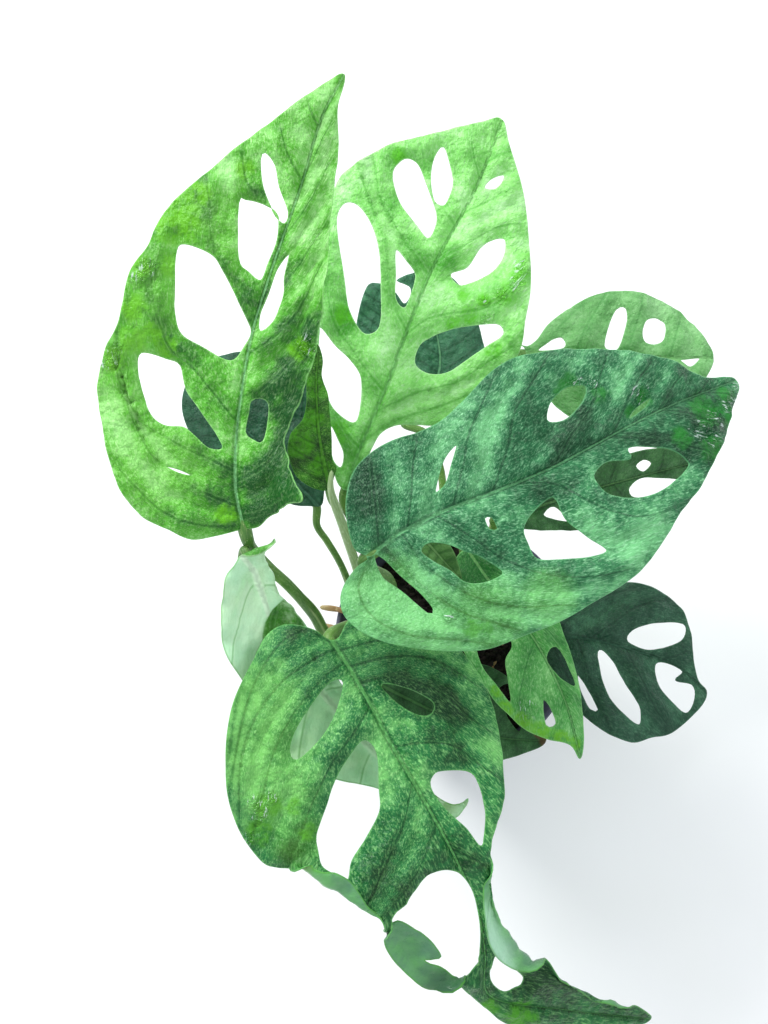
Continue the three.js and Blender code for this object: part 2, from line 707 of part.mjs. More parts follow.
// A smooth closed loop through the given points, with points about step apart.
function smoothLoop(points, step) {
  const n = points.length;
  const loop = [];
  points.forEach((b, i) => {
    const [a, c, d] = [points[(i + n - 1) % n], points[(i + 1) % n], points[(i + 2) % n]];
    const count = Math.max(1, Math.round(Math.hypot(c[0] - b[0], c[1] - b[1]) / step));
    for (let k = 0; k < count; k += 1) {
      const t = k / count;
      const at = [0, 1].map((j) => {
        const linear = c[j] - a[j];
        const square = 2 * a[j] - 5 * b[j] + 4 * c[j] - d[j];
        const cubic = 3 * (b[j] - c[j]) + d[j] - a[j];
        return 0.5 * (2 * b[j] + t * (linear + t * (square + t * cubic)));
      });
      loop.push(new THREE.Vector2(...at));
    }
  });
  return loop;
}

const cross = (a, b, c) => (b.x - a.x) * (c.y - a.y) - (b.y - a.y) * (c.x - a.x);

// True if d lies inside the circle through the counterclockwise triangle a, b, c.
function inCircle(a, b, c, d) {
  const rows = [a, b, c].map((p) => {
    const [x, y] = [p.x - d.x, p.y - d.y];
    return [x, y, x * x + y * y];
  });
  const [[ax, ay, aw], [bx, by, bw], [cx, cy, cw]] = rows;
  return ax * (by * cw - bw * cy) - ay * (bx * cw - bw * cx) + aw * (bx * cy - by * cx) > 1e-7;
}

// Swaps the diagonals of neighbouring triangles until each pair is as even as it can be.
function evenOut(points, triangles) {
  for (let changed = true, pass = 0; changed && pass < 60; pass += 1) {
    changed = false;
    const sides = new Map();
    triangles.forEach((t, i) => t.forEach((a, k) => sides.set(`${a},${t[(k + 1) % 3]}`, [i, k])));
    const touched = new Set();
    for (const [key, [i, k]] of sides) {
      const [a, b] = key.split(',').map(Number);
      const other = sides.get(`${b},${a}`);
      if (!other || touched.has(i) || touched.has(other[0])) continue;
      const c = triangles[i][(k + 2) % 3];
      const d = triangles[other[0]][(other[1] + 2) % 3];
      const [A, B, C, D] = [a, b, c, d].map((j) => points[j]);
      if (!inCircle(A, B, C, D) || cross(C, A, D) <= 1e-6 || cross(C, D, B) <= 1e-6) continue;
      triangles[i] = [c, a, d];
      triangles[other[0]] = [c, d, b];
      touched.add(i).add(other[0]);
      changed = true;
    }
  }
}

// Fills an outline with holes by near-even triangles, with inner points on a staggered grid.
function fill(outline, holes, step) {
  const points = [outline, ...holes].flat();
  const triangles = THREE.ShapeUtils.triangulateShape(outline, holes).map((t) => {
    const [a, b, c] = t;
    return cross(points[a], points[b], points[c]) > 0 ? [a, b, c] : [a, c, b];
  });
  const margin = [...points];
  const rowStep = step * Math.sin(Math.PI / 3);
  const clear = step * 0.55;
  const box = new THREE.Box2().setFromPoints(outline);
  const rows = Math.ceil((box.max.y - box.min.y) / rowStep);
  const columns = Math.ceil((box.max.x - box.min.x) / step) + 1;
  for (let row = 0; row <= rows; row += 1) {
    for (let column = 0; column <= columns; column += 1) {
      const x = box.min.x + (column + (row % 2) * 0.5) * step;
      const p = new THREE.Vector2(x, box.min.y + row * rowStep);
      if (margin.some((q) => q.distanceTo(p) < clear)) continue;
      const home = triangles.findIndex((t) => {
        const [a, b, c] = t.map((j) => points[j]);
        return cross(a, b, p) > 1e-3 && cross(b, c, p) > 1e-3 && cross(c, a, p) > 1e-3;
      });
      if (home < 0) continue;
      const [a, b, c] = triangles[home];
      const centre = points.push(p) - 1;
      triangles.splice(home, 1, [a, b, centre], [b, c, centre], [c, a, centre]);
    }
  }
  evenOut(points, triangles);
  return { points, triangles };
}

// A closed geometry from a list of corners and a list of triangles.
function closedGeometry(corners, triangles) {
  const geometry = new THREE.BufferGeometry();
  const values = corners.flatMap((p) => p.toArray());
  geometry.setAttribute('position', new THREE.Float32BufferAttribute(values, 3));
  geometry.setIndex(triangles.flat());
  return geometry;
}

// A leaf blade: two faces with the same triangles, BLADE apart, and a wall along every edge.
function bladeGeometry(leaf) {
  const outline = smoothLoop(leaf.outline, MARGIN_STEP);
  const holes = (leaf.holes ?? []).map((hole) => smoothLoop(hole, MARGIN_STEP));
  const { points, triangles } = fill(outline, holes, BLADE_STEP);
  const n = points.length;
  const middle = points.map((p) => leafPoint(leaf, p.x, p.y));
  const half = points.map((p) => leafNormal(leaf, p.x, p.y).multiplyScalar(BLADE / 2));
  const corners = [
    ...middle.map((p, i) => p.clone().add(half[i])),
    ...middle.map((p, i) => p.clone().sub(half[i])),
  ];
  const sides = new Set(triangles.flatMap(([a, b, c]) => [`${a},${b}`, `${b},${c}`, `${c},${a}`]));
  const faces = triangles.flatMap(([a, b, c]) => [[a, b, c], [a + n, c + n, b + n]]);
  for (const side of sides) {
    const [a, b] = side.split(',').map(Number);
    if (!sides.has(`${b},${a}`)) faces.push([a, a + n, b + n], [a, b + n, b]);
  }
  return closedGeometry(corners, faces);
}

// A rod with flat ends along a smooth curve through the given points. Its radius may change
// evenly along the course, as a list of radii.
function rodGeometry(path, radii, sides, steps) {
  const ring = Array.from({ length: sides }, (_, i) => {
    const angle = (2 * Math.PI * i) / sides;
    return new THREE.Vector2(Math.cos(angle), Math.sin(angle));
  });
  const curve = new THREE.CatmullRomCurve3(path);
  const options = { steps, extrudePath: curve, curveSegments: 1 };
  const geometry = new THREE.ExtrudeGeometry(new THREE.Shape(ring), options);
  const centres = Array.from({ length: steps + 1 }, (_, i) => curve.getPointAt(i / steps));
  const position = geometry.getAttribute('position');
  for (let i = 0; i < position.count; i += 1) {
    const p = new THREE.Vector3().fromBufferAttribute(position, i);
    const distances = centres.map((c) => c.distanceTo(p));
    const nearest = distances.indexOf(Math.min(...distances));
    const place = (nearest / steps) * (radii.length - 1);
    const before = Math.min(Math.floor(place), radii.length - 1);
    const after = Math.min(before + 1, radii.length - 1);
    const radius = THREE.MathUtils.lerp(radii[before], radii[after], place - before);
    p.sub(centres[nearest]).multiplyScalar(radius).add(centres[nearest]);
    position.setXYZ(i, p.x, p.y, p.z);
  }
  return geometry;
}

const vectors = (path) => path.map((p) => new THREE.Vector3(...p));

// The first point of a rod that leaves the side of a stem at a height towards a point. A steep
// rod starts further out, so that its end stays GAP clear of the stem.
function stemSeat({ stem, height, radius }, towards) {
  const fineness = 400;
  const root = new THREE.CatmullRomCurve3(vectors(STEMS[stem])).getPoints(fineness)
    .reduce((a, b) => (Math.abs(b.z - height) < Math.abs(a.z - height) ? b : a));
  const way = towards.clone().sub(root).normalize();
  const out = way.clone().setZ(0).normalize();
  return root.addScaledVector(out, STEM_RADIUS + GAP + radius * Math.abs(way.z));
}

// A stalk from the side of its stem to its blade, where it runs on along the midrib.
function stalkGeometry(leaf, stalk) {
  const { radius, overlap = 5, face = -1 } = stalk;
  const via = vectors(stalk.via);
  const [seat, end] = [0, overlap].map((u) => {
    const v = ribAt(leaf.rib, u);
    const away = leafNormal(leaf, u, v).multiplyScalar(face * (BLADE / 2 + GAP + radius));
    return leafPoint(leaf, u, v).add(away);
  });
  const approach = seat.clone().multiplyScalar(2).sub(end);
  approach.addScaledVector(leafNormal(leaf, 0, 0), face * 4 * GAP);
  const path = [stemSeat(stalk, via[0]), ...via, approach, end];
  return rodGeometry(path, [radius], STALK_SIDES, 4 + 3 * via.length);
}

// Solids for cutting, from position-only vertices, and back.
function toSolid(geometry) {
  const bare = geometry.clone();
  bare.deleteAttribute('normal');
  bare.deleteAttribute('uv');
  const merged = mergeVertices(bare, 1e-4);
  const vertProperties = new Float32Array(merged.getAttribute('position').array);
  const triVerts = new Uint32Array(merged.getIndex().array);
  return new wasm.Manifold(new wasm.Mesh({ numProp: 3, vertProperties, triVerts }));
}

function toGeometry(solid) {
  const { vertProperties, triVerts } = solid.getMesh();
  const geometry = new THREE.BufferGeometry();
  geometry.setAttribute('position', new THREE.BufferAttribute(vertProperties, 3));
  geometry.setIndex(new THREE.BufferAttribute(triVerts, 1));
  return geometry;
}

// Turned about the Z axis, from a profile of [radius, height] points.
function turned(profile, sides) {
  const geometry = new THREE.LatheGeometry(profile.map((p) => new THREE.Vector2(...p)), sides);
  return geometry.rotateX(Math.PI / 2);
}

// An upright peg for cutting round holes.
function peg(radius, low, high, x, y, sides) {
  const geometry = new THREE.CylinderGeometry(radius, radius, high - low, sides);
  return geometry.rotateX(Math.PI / 2).translate(x, y, (low + high) / 2);
}

function potGeometry() {
  const { height, rimRadius, baseRadius, wall, foot, sides } = POT;
  const shoulder = height - LIP.height;
  const profile = [
    [0, 0],
    [baseRadius - foot, 0],
    [baseRadius, foot],
    [rimRadius - LIP.width, shoulder],
    [rimRadius - LIP.edge / 2, shoulder],
    [rimRadius, height - LIP.edge],
    [rimRadius - LIP.edge, height],
    [rimRadius - LIP.edge - LIP.top, height],
    [rimRadius - LIP.width - wall, shoulder + foot],
    [baseRadius - wall, foot + wall],
    [baseRadius - wall - foot, wall],
    [0, wall],
  ];
  let solid = toSolid(turned(profile, sides));
  for (let i = 0; i < DRAIN.count; i += 1) {
    const angle = (2 * Math.PI * i) / DRAIN.count;
    const [x, y] = [DRAIN.circle * Math.cos(angle), DRAIN.circle * Math.sin(angle)];
    solid = solid.subtract(toSolid(peg(DRAIN.radius, -CUT, wall + CUT, x, y, DRAIN.sides)));
  }
  return toGeometry(solid);
}

// The pot's inner radius at a height between its floor and its lip.
function innerRadius(z) {
  const { height, rimRadius, baseRadius, wall, foot } = POT;
  const low = foot + wall;
  const high = height - LIP.height + foot;
  return THREE.MathUtils.mapLinear(z, low, high, baseRadius - wall, rimRadius - LIP.width - wall);
}

// The soil: a plug that follows the pot's inside, with a lumpy crown and a plain hole for each stem.
function soilGeometry() {
  const { edge, crown, rings, sides } = SOIL;
  const { height, turn, phase } = LUMPS;
  const clear = 2 * GAP;
  const floor = POT.wall + GAP;
  const low = POT.foot + POT.wall + clear;
  const rim = innerRadius(edge) - clear;
  const profile = [
    [0, floor],
    [POT.baseRadius - POT.wall - POT.foot - clear, floor],
    [innerRadius(low) - clear, low],
    [rim, edge],
  ];
  for (let i = 1; i <= rings; i += 1) {
    const share = 1 - i / rings;
    profile.push([rim * share, edge + (crown - edge) * (1 - share * share)]);
  }
  const geometry = turned(profile, sides);
  const position = geometry.getAttribute('position');
  for (let i = 0; i < position.count; i += 1) {
    const [x, y, z] = [position.getX(i), position.getY(i), position.getZ(i)];
    const across = Math.sin(x * turn[0] + phase[0]);
    const back = Math.sin(y * turn[1] + phase[1]);
    if (z > edge + GAP) position.setZ(i, z + height * across * back);
  }
  let solid = toSolid(geometry);
  for (const [[x, y, z]] of Object.values(STEMS)) {
    const hole = peg(STEM_RADIUS + 1.5 * GAP, z - GAP, crown + CUT, x, y, 2 * STEM_SIDES);
    solid = solid.subtract(toSolid(hole));
  }
  return toGeometry(solid);
}

const finish = (color, roughness) => new THREE.MeshStandardMaterial({ color, roughness, metalness: 0 });
const group = new THREE.Group();

function add(name, geometry, material) {
  const mesh = new THREE.Mesh(geometry, material);
  mesh.name = name;
  group.add(mesh);
}

add('pot', potGeometry(), finish('#55566b', 0.5));
add('soil', soilGeometry(), finish('#1d1a17', 0.95));
for (const [name, path] of Object.entries(STEMS)) {
  add(name, rodGeometry(vectors(path), [STEM_RADIUS], STEM_SIDES, 12), finish('#5b7a3a', 0.55));
}
for (const leaf of LEAVES) {
  const name = leaf.name.replace('leaf', 'stalk');
  add(name, stalkGeometry(leaf, STALKS[leaf.name]), finish('#4f7a35', 0.5));
  add(leaf.name, bladeGeometry(leaf), finish(leaf.colour, 0.4));
}
const spearVia = vectors(SPEAR.via);
const spearStart = stemSeat({ ...SPEAR, radius: SPEAR.radii[0] }, spearVia[0]);
const spear = rodGeometry([spearStart, ...spearVia], SPEAR.radii, SPEAR.sides, 8);
add(SPEAR.name, spear, finish('#a9c08f', 0.45));
for (const [name, root] of Object.entries(ROOTS)) {
  const via = vectors(root.via);
  const path = [stemSeat(root, via[0]), ...via];
  add(name, rodGeometry(path, [root.radius], ROOT_SIDES, 9), finish('#a9814f', 0.7));
}

export default group;
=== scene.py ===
"""The looks of a young Swiss cheese plant (Monstera adansonii) in a nursery pot.

Every leaf is rebuilt as a fine closed sheet in its CAD blade's place: it is drawn flat, filled
with small triangles, pressed along its veins, curled and then posed. Stalks, stems, roots, soil
and pot are rebuilt as finer meshes from the CAD source's own measures. Lengths in the tables are
in millimetres, as in the CAD source, and MM turns them into Blender's metres.
"""

from math import cos, pi, radians, sin

import bmesh
import bpy
import numpy as np
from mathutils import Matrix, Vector, kdtree
from mathutils.geometry import delaunay_2d_cdt


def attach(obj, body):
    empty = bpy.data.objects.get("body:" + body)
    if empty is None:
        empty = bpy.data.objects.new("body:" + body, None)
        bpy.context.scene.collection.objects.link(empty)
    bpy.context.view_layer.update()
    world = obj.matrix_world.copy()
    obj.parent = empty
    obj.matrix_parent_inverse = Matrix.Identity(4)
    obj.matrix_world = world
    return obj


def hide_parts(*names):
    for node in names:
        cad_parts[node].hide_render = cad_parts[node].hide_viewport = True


MM = 0.001
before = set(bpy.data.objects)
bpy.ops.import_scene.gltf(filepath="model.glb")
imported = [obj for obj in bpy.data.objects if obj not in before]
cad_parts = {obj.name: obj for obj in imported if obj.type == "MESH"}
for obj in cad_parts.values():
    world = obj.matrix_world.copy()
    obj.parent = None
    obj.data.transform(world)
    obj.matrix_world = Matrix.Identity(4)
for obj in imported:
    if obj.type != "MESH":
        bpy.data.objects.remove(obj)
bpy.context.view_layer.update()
random = np.random.default_rng(7)
UP = np.array([0, 0, 1])

# Camera: it looks down on the plant, a little from the front.
EYE = (-35.5, -82.0, 655.4)
TILT = 15.0  # degrees from straight down
FOCUS = 1100.0  # focal length in pixels of a picture PICTURE_HEIGHT pixels high
PICTURE_HEIGHT = 1024.0
SENSOR = 36
NEAREST = 0.01  # metres

# Soft lights: name, place, size (metres) and power (watts). Each looks at LIT.
LIGHTS = (
    ("window", (-0.9, 0.9, 1.1), 0.5, 20),
    ("fill", (0.9, -0.8, 1.1), 1.2, 2),
    ("back", (0.6, 1.2, 0.9), 0.8, 5),
)
LIT = (-0.02, 0.03, 0.15)
SKY_COLOUR = (0.9, 0.95, 1.0, 1)
SKY_STRENGTH = 0.82
FLOOR_SIZE = 3.0

# Spacings of the points along margins and veins, along the midrib, inside a blade and along rods.
MARGIN_STEP = 1.5
RIB_STEP = 1.2
BLADE_STEP = 1.7
ROD_STEP = 1.2
HALF_BLADE = 0.27  # half a blade's thickness

# u runs from the blade's base to its tip and v to its left, seen from above. base, heading, pitch
# and roll (degrees) pose the flat blade, rib is the midrib's course, fold, cup and wave shape its
# section, and curls bend or twist the sheet.
LEAVES = {}
LEAVES["leaf_back_left"] = dict(
    base=(-94, 30, 212), heading=76, pitch=21, roll=4, fold=0.05,
    wave=dict(length=95, height=3, phase=40),
    rib=(
        (0, 0), (15, 6.5), (34, 10.5), (53, 12.5), (79, 13.5), (103, 11.5), (143, 6.5), (168, 4.5),
        (186, -0.5),
    ),
    curls=(
        dict(kind="bend", at=(0, -3), along=180, radius=16, turn=58),
    ),
    outline=(
        (-1, 1), (-6, 11), (-9, 19.5), (-7, 29), (-5, 39), (1, 48), (11.5, 57), (26.5, 64.5),
        (41.5, 70.5), (58, 70.5), (73, 66.5), (90.5, 66), (103, 61), (116.5, 58), (128, 52),
        (150.5, 34.5), (166.5, 19.5), (178.5, 9), (186.5, -0.5), (172.5, -1), (158, -4.5), (138, -7),
        (122.5, -10), (102, -16.5), (79.5, -14.5), (64.5, -12), (56, -11), (45, -9), (36, -10.5),
        (27.5, -23.5), (20.5, -40), (16.5, -29), (8.5, -12.5), (2, -6), (0, -1.5),
    ),
    holes=(
        ((18, 36.5), (18, 30.5), (16.5, 25), (16.5, 30.5)),
        ((61, 56), (61, 45.5), (59.5, 39.5), (50, 35), (43.5, 27.5), (31.5, 15.5), (29, 20.5),
         (33.5, 29), (35, 33.5), (34, 41.5), (38.5, 48.5), (53, 56)),
        ((104, 49.5), (107.5, 47), (106, 36), (101, 30), (84.5, 17), (79.5, 14), (74, 15), (66, 19.5),
         (69, 32.5), (72, 41), (79, 45), (91.5, 47.5)),
        ((128.5, 30), (130.5, 27.5), (130, 19), (126.5, 13), (117.5, 11.5), (108, 13), (100.5, 14.5),
         (102.5, 20), (107, 25)),
        ((113, 5.5), (104, 5.5), (96.5, 4), (85.5, 6), (80.5, 10.5), (87, 12), (95.5, 10.5), (106.5, 9)),
        ((147, 25), (150, 23.5), (146, 18.5), (138, 15), (129.5, 9.5), (124.5, 10), (126.5, 14),
         (136.5, 21.5)),
        ((52, 8), (54, 5), (53, 1), (47, -0.5), (37, -0.5), (36.5, 3.5), (39, 7.5), (48, 8)),
    ),
)
LEAVES["leaf_back"] = dict(
    base=(-52, 53, 190), heading=66, pitch=17, roll=2, fold=0.06,
    wave=dict(length=80, height=3.5, phase=0),
    rib=(
        (0, 0), (17, 1.5), (32, 1.5), (49, 1.5), (71, 2.5), (101, 3), (118, 1.5), (135, -0.5),
        (150, -1), (174, 0),
    ),
    outline=(
        (-0.5, 1), (1.5, 5), (7.5, 9.5), (17, 15.5), (26.5, 21.5), (38, 28.5), (49.5, 35), (62.5, 39),
        (76.5, 43.5), (91.5, 49.5), (106.5, 54.5), (122.5, 56), (131.5, 52.5), (138.5, 47), (146.5, 39),
        (156.5, 24), (169.5, 7), (173.5, 0), (164, -7.5), (146, -22), (125, -33.5), (110, -40),
        (97.5, -43), (84.5, -46), (68, -44), (51, -37), (42, -27), (37.5, -15.5), (34, -8.5), (28, -4),
        (17.5, -3), (6.5, -2), (1, -1),
    ),
    holes=(
        ((108, 50), (115, 49.5), (116.5, 44), (111.5, 35.5), (101.5, 27), (86, 19.5), (73.5, 14.5),
         (68, 15.5), (66, 20.5), (73, 29.5), (84, 36), (97.5, 44.5)),
        ((133, 34.5), (138.5, 35), (143, 31.5), (142.5, 26), (136, 19.5), (126, 10.5), (119.5, 8.5),
         (114.5, 10), (118.5, 17.5), (124.5, 27.5)),
        ((144, 20.5), (150.5, 20.5), (153, 18.5), (149, 14.5), (141, 9), (134.5, 8), (130, 9),
         (130.5, 13.5), (137, 18)),
        ((143.5, -4.5), (148, -5.5), (152, -10), (148, -10.5), (144.5, -8.5)),
        ((104, -5.5), (109.5, -11), (119, -13), (124.5, -16.5), (126.5, -21.5), (118.5, -24),
         (110, -21.5), (103, -15), (100.5, -10.5)),
        ((104.5, 20.5), (102, 14.5), (98, 8.5), (89.5, 7), (83, 7.5), (85, 12.5), (94.5, 16.5)),
        ((61, 38.5), (56.5, 29.5), (53, 20.5), (47.5, 13), (36, 8.5), (29, 7.5), (28, 12), (31.5, 21),
         (42, 30.5), (51.5, 36)),
        ((62.5, -6), (70.5, -5), (76.5, -9), (83, -16.5), (89.5, -28.5), (91, -34.5), (87.5, -37),
         (80.5, -32), (70.5, -25.5), (63.5, -20), (60.5, -12.5)),
        ((23, 17), (19, 12), (14, 7), (8, 6), (9, 10), (15, 14)),
    ),
)
LEAVES["leaf_top"] = dict(
    base=(-40, 19, 213), heading=26, pitch=1, roll=8, fold=0.07,
    wave=dict(length=90, height=2.5, phase=90),
    rib=((0, 0), (12, 2.5), (22, 3), (36, 3), (67, 0.5), (86, 0), (127, 2), (151, 2.5), (188, 1)),
    curls=(
        dict(kind="bend", at=(100, 0), along=-90, radius=120, turn=-22),
    ),
    outline=(
        (-3, 0.5), (-6, 5.5), (-3.5, 18), (1.5, 27.5), (8.5, 34.5), (18, 38), (27.5, 39), (39, 37.5),
        (50, 37.5), (62, 41), (77, 46.5), (88, 48), (98, 46.5), (114, 42), (131.5, 35), (145.5, 27),
        (159, 17.5), (171, 8), (188, 1), (175.5, -10.5), (163.5, -20), (140, -34), (122, -41.5),
        (102, -52), (87.5, -56), (71.5, -57.5), (56, -58.5), (38, -57), (25, -55.5), (12.5, -50.5),
        (1, -44), (-9.5, -36.5), (-17.5, -28), (-21.5, -19), (-20.5, -12), (-16, -6.5), (-8.5, -2.5),
        (-3, -1.5),
    ),
    holes=(
        ((51, 25.5), (46, 19.5), (40, 13), (34.5, 11.5), (38, 16.5), (44.5, 23)),
        ((112.5, 24.5), (109.5, 20.5), (103, 17), (96.5, 15.5), (91, 17.5), (91, 20.5), (95, 25),
         (103.5, 28), (109.5, 27)),
        ((137.5, 9), (133, 6), (124, 4.5), (128.5, 7.5)),
        ((97, -12), (101, -8.5), (106.5, -8), (115, -11), (116.5, -6.5), (124, -9), (134, -14),
         (141.5, -22.5), (135.5, -26.5), (119, -29), (106.5, -26), (99, -20.5)),
        ((60.5, -18.5), (66, -14), (76, -11), (78.5, -13), (78.5, -23), (82.5, -32), (87, -41),
         (79.5, -40.5), (68, -36), (60, -31.5), (59.5, -24.5)),
        ((48, -7), (51, -8), (51, -13.5), (48, -12)),
        ((18, -8), (22.5, -6), (29.5, -10), (34.5, -15.5), (40, -21), (45, -30), (41, -31.5),
         (34, -30.5), (28.5, -27), (25.5, -20.5), (21, -14.5)),
        ((0, -1), (3, -4), (6, -13), (10, -23), (12, -31.5), (9, -32), (3.5, -19.5), (-1, -10.5)),
    ),
)
LEAVES["leaf_front"] = dict(
    base=(-57, -15, 192), heading=-60, pitch=-9, roll=-5, fold=0.04, cup=1,
    wave=dict(length=100, height=3, phase=0),
    rib=(
        (0, 0), (20, 1), (51, 0.5), (84, 1), (109, 0.5), (133, -1.5), (152, -6), (175, -12), (207, 14),
        (249, 53),
    ),
    curls=(
        dict(kind="twist", start=(110, -37), end=(157, -21), turn=180, reach=12.5, ramp=0.13),
        dict(kind="bend", at=(110, -37), along=-160, radius=1.1, turn=165, span=45, bow=1.2, ramp=0.12),
        dict(kind="bend", at=(110, 12.5), along=-2.7, radius=2, turn=165, span=64, bow=-6.5, ramp=0.15),
        dict(kind="bend", at=(172, 10), along=28.5, radius=2, turn=120, span=76),
        dict(kind="bend", at=(85, 0), along=-90, radius=110, turn=-30),
    ),
    outline=(
        (-2, -1), (-8.5, -4.5), (-14, -10), (-17, -16), (-16, -23.5), (-10, -32.5), (-4.5, -41),
        (2, -49), (11, -56.5), (21, -62.5), (31.5, -67.5), (42, -70), (52, -70.5), (63.5, -68.5),
        (68, -65), (71, -60.5), (72.8, -55.5), (75.5, -53.5), (80, -54), (84, -55.5), (88.5, -55),
        (94, -52.5), (101, -46.5), (106, -43), (110, -38.5), (113.5, -38.5), (120, -38), (128, -36.5),
        (136, -33.5), (142, -29.5), (140, -27.5), (135.5, -26), (139, -25), (144.5, -25), (154, -22),
        (160, -21.5), (171.5, -18.5), (183, -15), (198, -8.5), (217.5, 10), (237, 32), (249, 53),
        (226, 44.5), (207.5, 35.5), (187.5, 24.5), (178, 18.5), (170, 16.5), (162, 17.5), (148, 19.5),
        (136, 19), (127, 18.5), (120, 18), (115, 15), (110.5, 14), (106, 17), (101, 21.5), (92, 30.5),
        (81.5, 37.5), (72, 42), (63.5, 45.5), (52, 48), (39.5, 48), (27, 45), (15, 39), (4.5, 30),
        (-3.5, 20), (-5, 11), (-0.5, 3),
    ),
    holes=(
        ((15.5, -4.5), (20, -7), (28.5, -17), (33, -28), (34.5, -37), (30, -38), (23.5, -32),
         (17, -19.5), (13.5, -9)),
        ((26, 8.5), (26.5, 12), (34.5, 20), (43.5, 25), (47, 21), (43.5, 15.5), (34.5, 10.5)),
        ((42.5, -14), (42, -8), (48.5, -6.5), (61.5, -12.5), (70.5, -17.5), (77, -27.5), (82, -37),
         (87.5, -42.5), (82, -46.5), (77, -48.8), (72, -47.5), (65, -44.5), (57.5, -36), (49, -26.5)),
        ((69.5, 14), (75.5, 23.5), (82.5, 24.5), (93, 21), (102.5, 15.5), (104, 12), (95, 10.5),
         (82.5, 6.5), (72.5, 6), (69, 9.5)),
        ((110, -34.5), (107, -26), (103.5, -15), (104, -7), (109, -1), (119, 1), (131, -1), (141, -4),
         (150, -8.5), (155, -14), (156, -18), (153, -17), (145, -14), (134.5, -16.5), (124, -21),
         (116.5, -26), (112.5, -31)),
        ((156.5, -3), (162, 0.5), (171, 3.5), (177.5, 5), (180.5, 2.5), (178, -3.5), (173, -8),
         (165, -8.5)),
    ),
)
LEAVES["leaf_curled"] = dict(
    base=(-83, 19, 206), heading=-48, pitch=-39, roll=180, fold=0, cup=1.5,
    wave=dict(length=60, height=1.5, phase=0),
    rib=((0, 9), (10, 12.5), (24, 17), (60, 20), (100, 20), (130, 15), (143.5, 4)),
    curls=(
        dict(kind="bend", at=(118, 14.5), along=183.5, radius=6, turn=170, span=125, ramp=0.12,
             bow=-4.5),
        dict(kind="bend", at=(-3, -6), along=112, radius=1.2, turn=-150),
        dict(kind="bend", at=(32, 0), along=-90, radius=70, turn=-22),
    ),
    outline=(
        (-6.5, -5), (-10.5, 0), (-12, 6), (-8.5, 12), (-5.5, 20.5), (1, 26.5), (9, 33.5), (20.5, 40),
        (33.5, 42), (47.5, 44), (60, 47), (71, 48.5), (80, 48), (88.5, 44.5), (96.5, 39.5), (104.5, 34),
        (113, 28.5), (128, 22), (139, 16.5), (144.5, 13), (146, 10), (145.5, 6.5), (143.5, 2),
        (142.5, 6.5), (139, 10), (130, 12.5), (118, 12), (107, 5), (97, -6), (83, -11), (67, -14),
        (52, -17.5), (38, -19), (27, -17), (20, -8), (15, 0), (8, -1), (2, -3.5), (-2, -6),
    ),
    holes=(
        ((27.5, 24.5), (23.5, 21.5), (19.5, 15), (19.5, 10), (21.5, 5), (26.5, 2.5), (33, 3), (38, 7),
         (39, 14), (34.5, 21.5)),
    ),
)
LEAVES["leaf_back_right"] = dict(
    base=(33, 131, 160), heading=1, pitch=-6, roll=-8, fold=0.05,
    wave=dict(length=50, height=2, phase=0),
    rib=((0, 0), (17, 2.5), (42, 1), (71, -0.5), (95, 0)),
    outline=(
        (0.5, 1.5), (-2.5, 4), (1, 3), (6.5, 7), (13, 16), (21.5, 23.5), (33.5, 32), (46.5, 34.5),
        (62.5, 34), (79.5, 27.5), (90.5, 12.5), (95, 0.5), (89, -12), (78, -24.5), (61.5, -37.5),
        (46, -42), (30, -40.5), (14, -33.5), (5, -20.5), (0.5, -7.5),
    ),
    holes=(
        ((7, 1.5), (12, 6), (19, 9.5), (20, 3.5)),
        ((40, 5), (43, 15.5), (47.5, 24.5), (52.5, 25), (52.5, 17), (47, 3.5), (43, 2.5)),
        ((59.5, 11.5), (62, 18.5), (68, 21.5), (73, 19), (71, 9.5), (65.5, 6), (61, 7)),
        ((77.5, -2.5), (80, -1.5), (88, -0.5), (82, -6)),
    ),
)
LEAVES["leaf_under_top"] = dict(
    base=(22, 50, 150), heading=16, pitch=4, roll=38, fold=0.05,
    rib=((0, 0), (27, 1.5), (57, 1.5), (94, 0)),
    outline=(
        (-0.5, 2.5), (4.5, 10), (17.5, 14.5), (32.5, 16), (44.5, 14.5), (55.5, 14), (70.5, 14),
        (82.5, 10.5), (94, 0), (86, -10.5), (74, -15.5), (58.5, -17.5), (43.5, -18), (29, -15.5),
        (15, -10.5), (4, -5),
    ),
    holes=(
        ((66, 7), (70, 9.5), (73.5, 6.5), (69, 3)),
        ((61, -2.5), (69.5, 0), (85, -6.5), (75, -9.5), (62.5, -8.5)),
        ((18, -3), (24, -1), (29.5, -10.5), (23, -8)),
    ),
)
LEAVES["leaf_right"] = dict(
    base=(43, -2, 124), heading=-20, pitch=0, roll=-4, fold=0.06,
    wave=dict(length=45, height=2, phase=60),
    rib=((0, 0), (18, 5.5), (38, 8), (66, 7.5), (81, 0.5)),
    outline=(
        (-1, 2), (-0.5, 11), (6, 23), (17.5, 34), (29.5, 39.5), (44, 40), (58.5, 36.5), (65.5, 27),
        (70.5, 14.5), (75.5, 5), (81, 0.5), (78.5, -9.5), (70, -23.5), (61, -29.5), (52, -35.5),
        (39, -34.5), (28, -30), (17.5, -24), (6.5, -14.5), (0, -4.5),
    ),
    holes=(
        ((38.5, 11.5), (38.5, 17), (46.5, 23.5), (59.5, 29.5), (63.5, 27.5), (63, 21), (57.5, 15.5),
         (48.5, 10.5)),
        ((26.5, -1), (27.5, 3), (35, -1), (42, -8.5), (51.5, -17.5), (54, -26), (45.5, -24), (35, -16)),
        ((54, 5.5), (59.5, 8), (67.5, 6.5), (65, 1), (73.5, 2), (76, -4), (74, -12.5), (63.5, -8.5),
         (56.5, -2.5)),
        ((20, -13), (26, -16.5), (34, -25.5), (30.5, -26.5), (24.5, -20.5)),
    ),
)
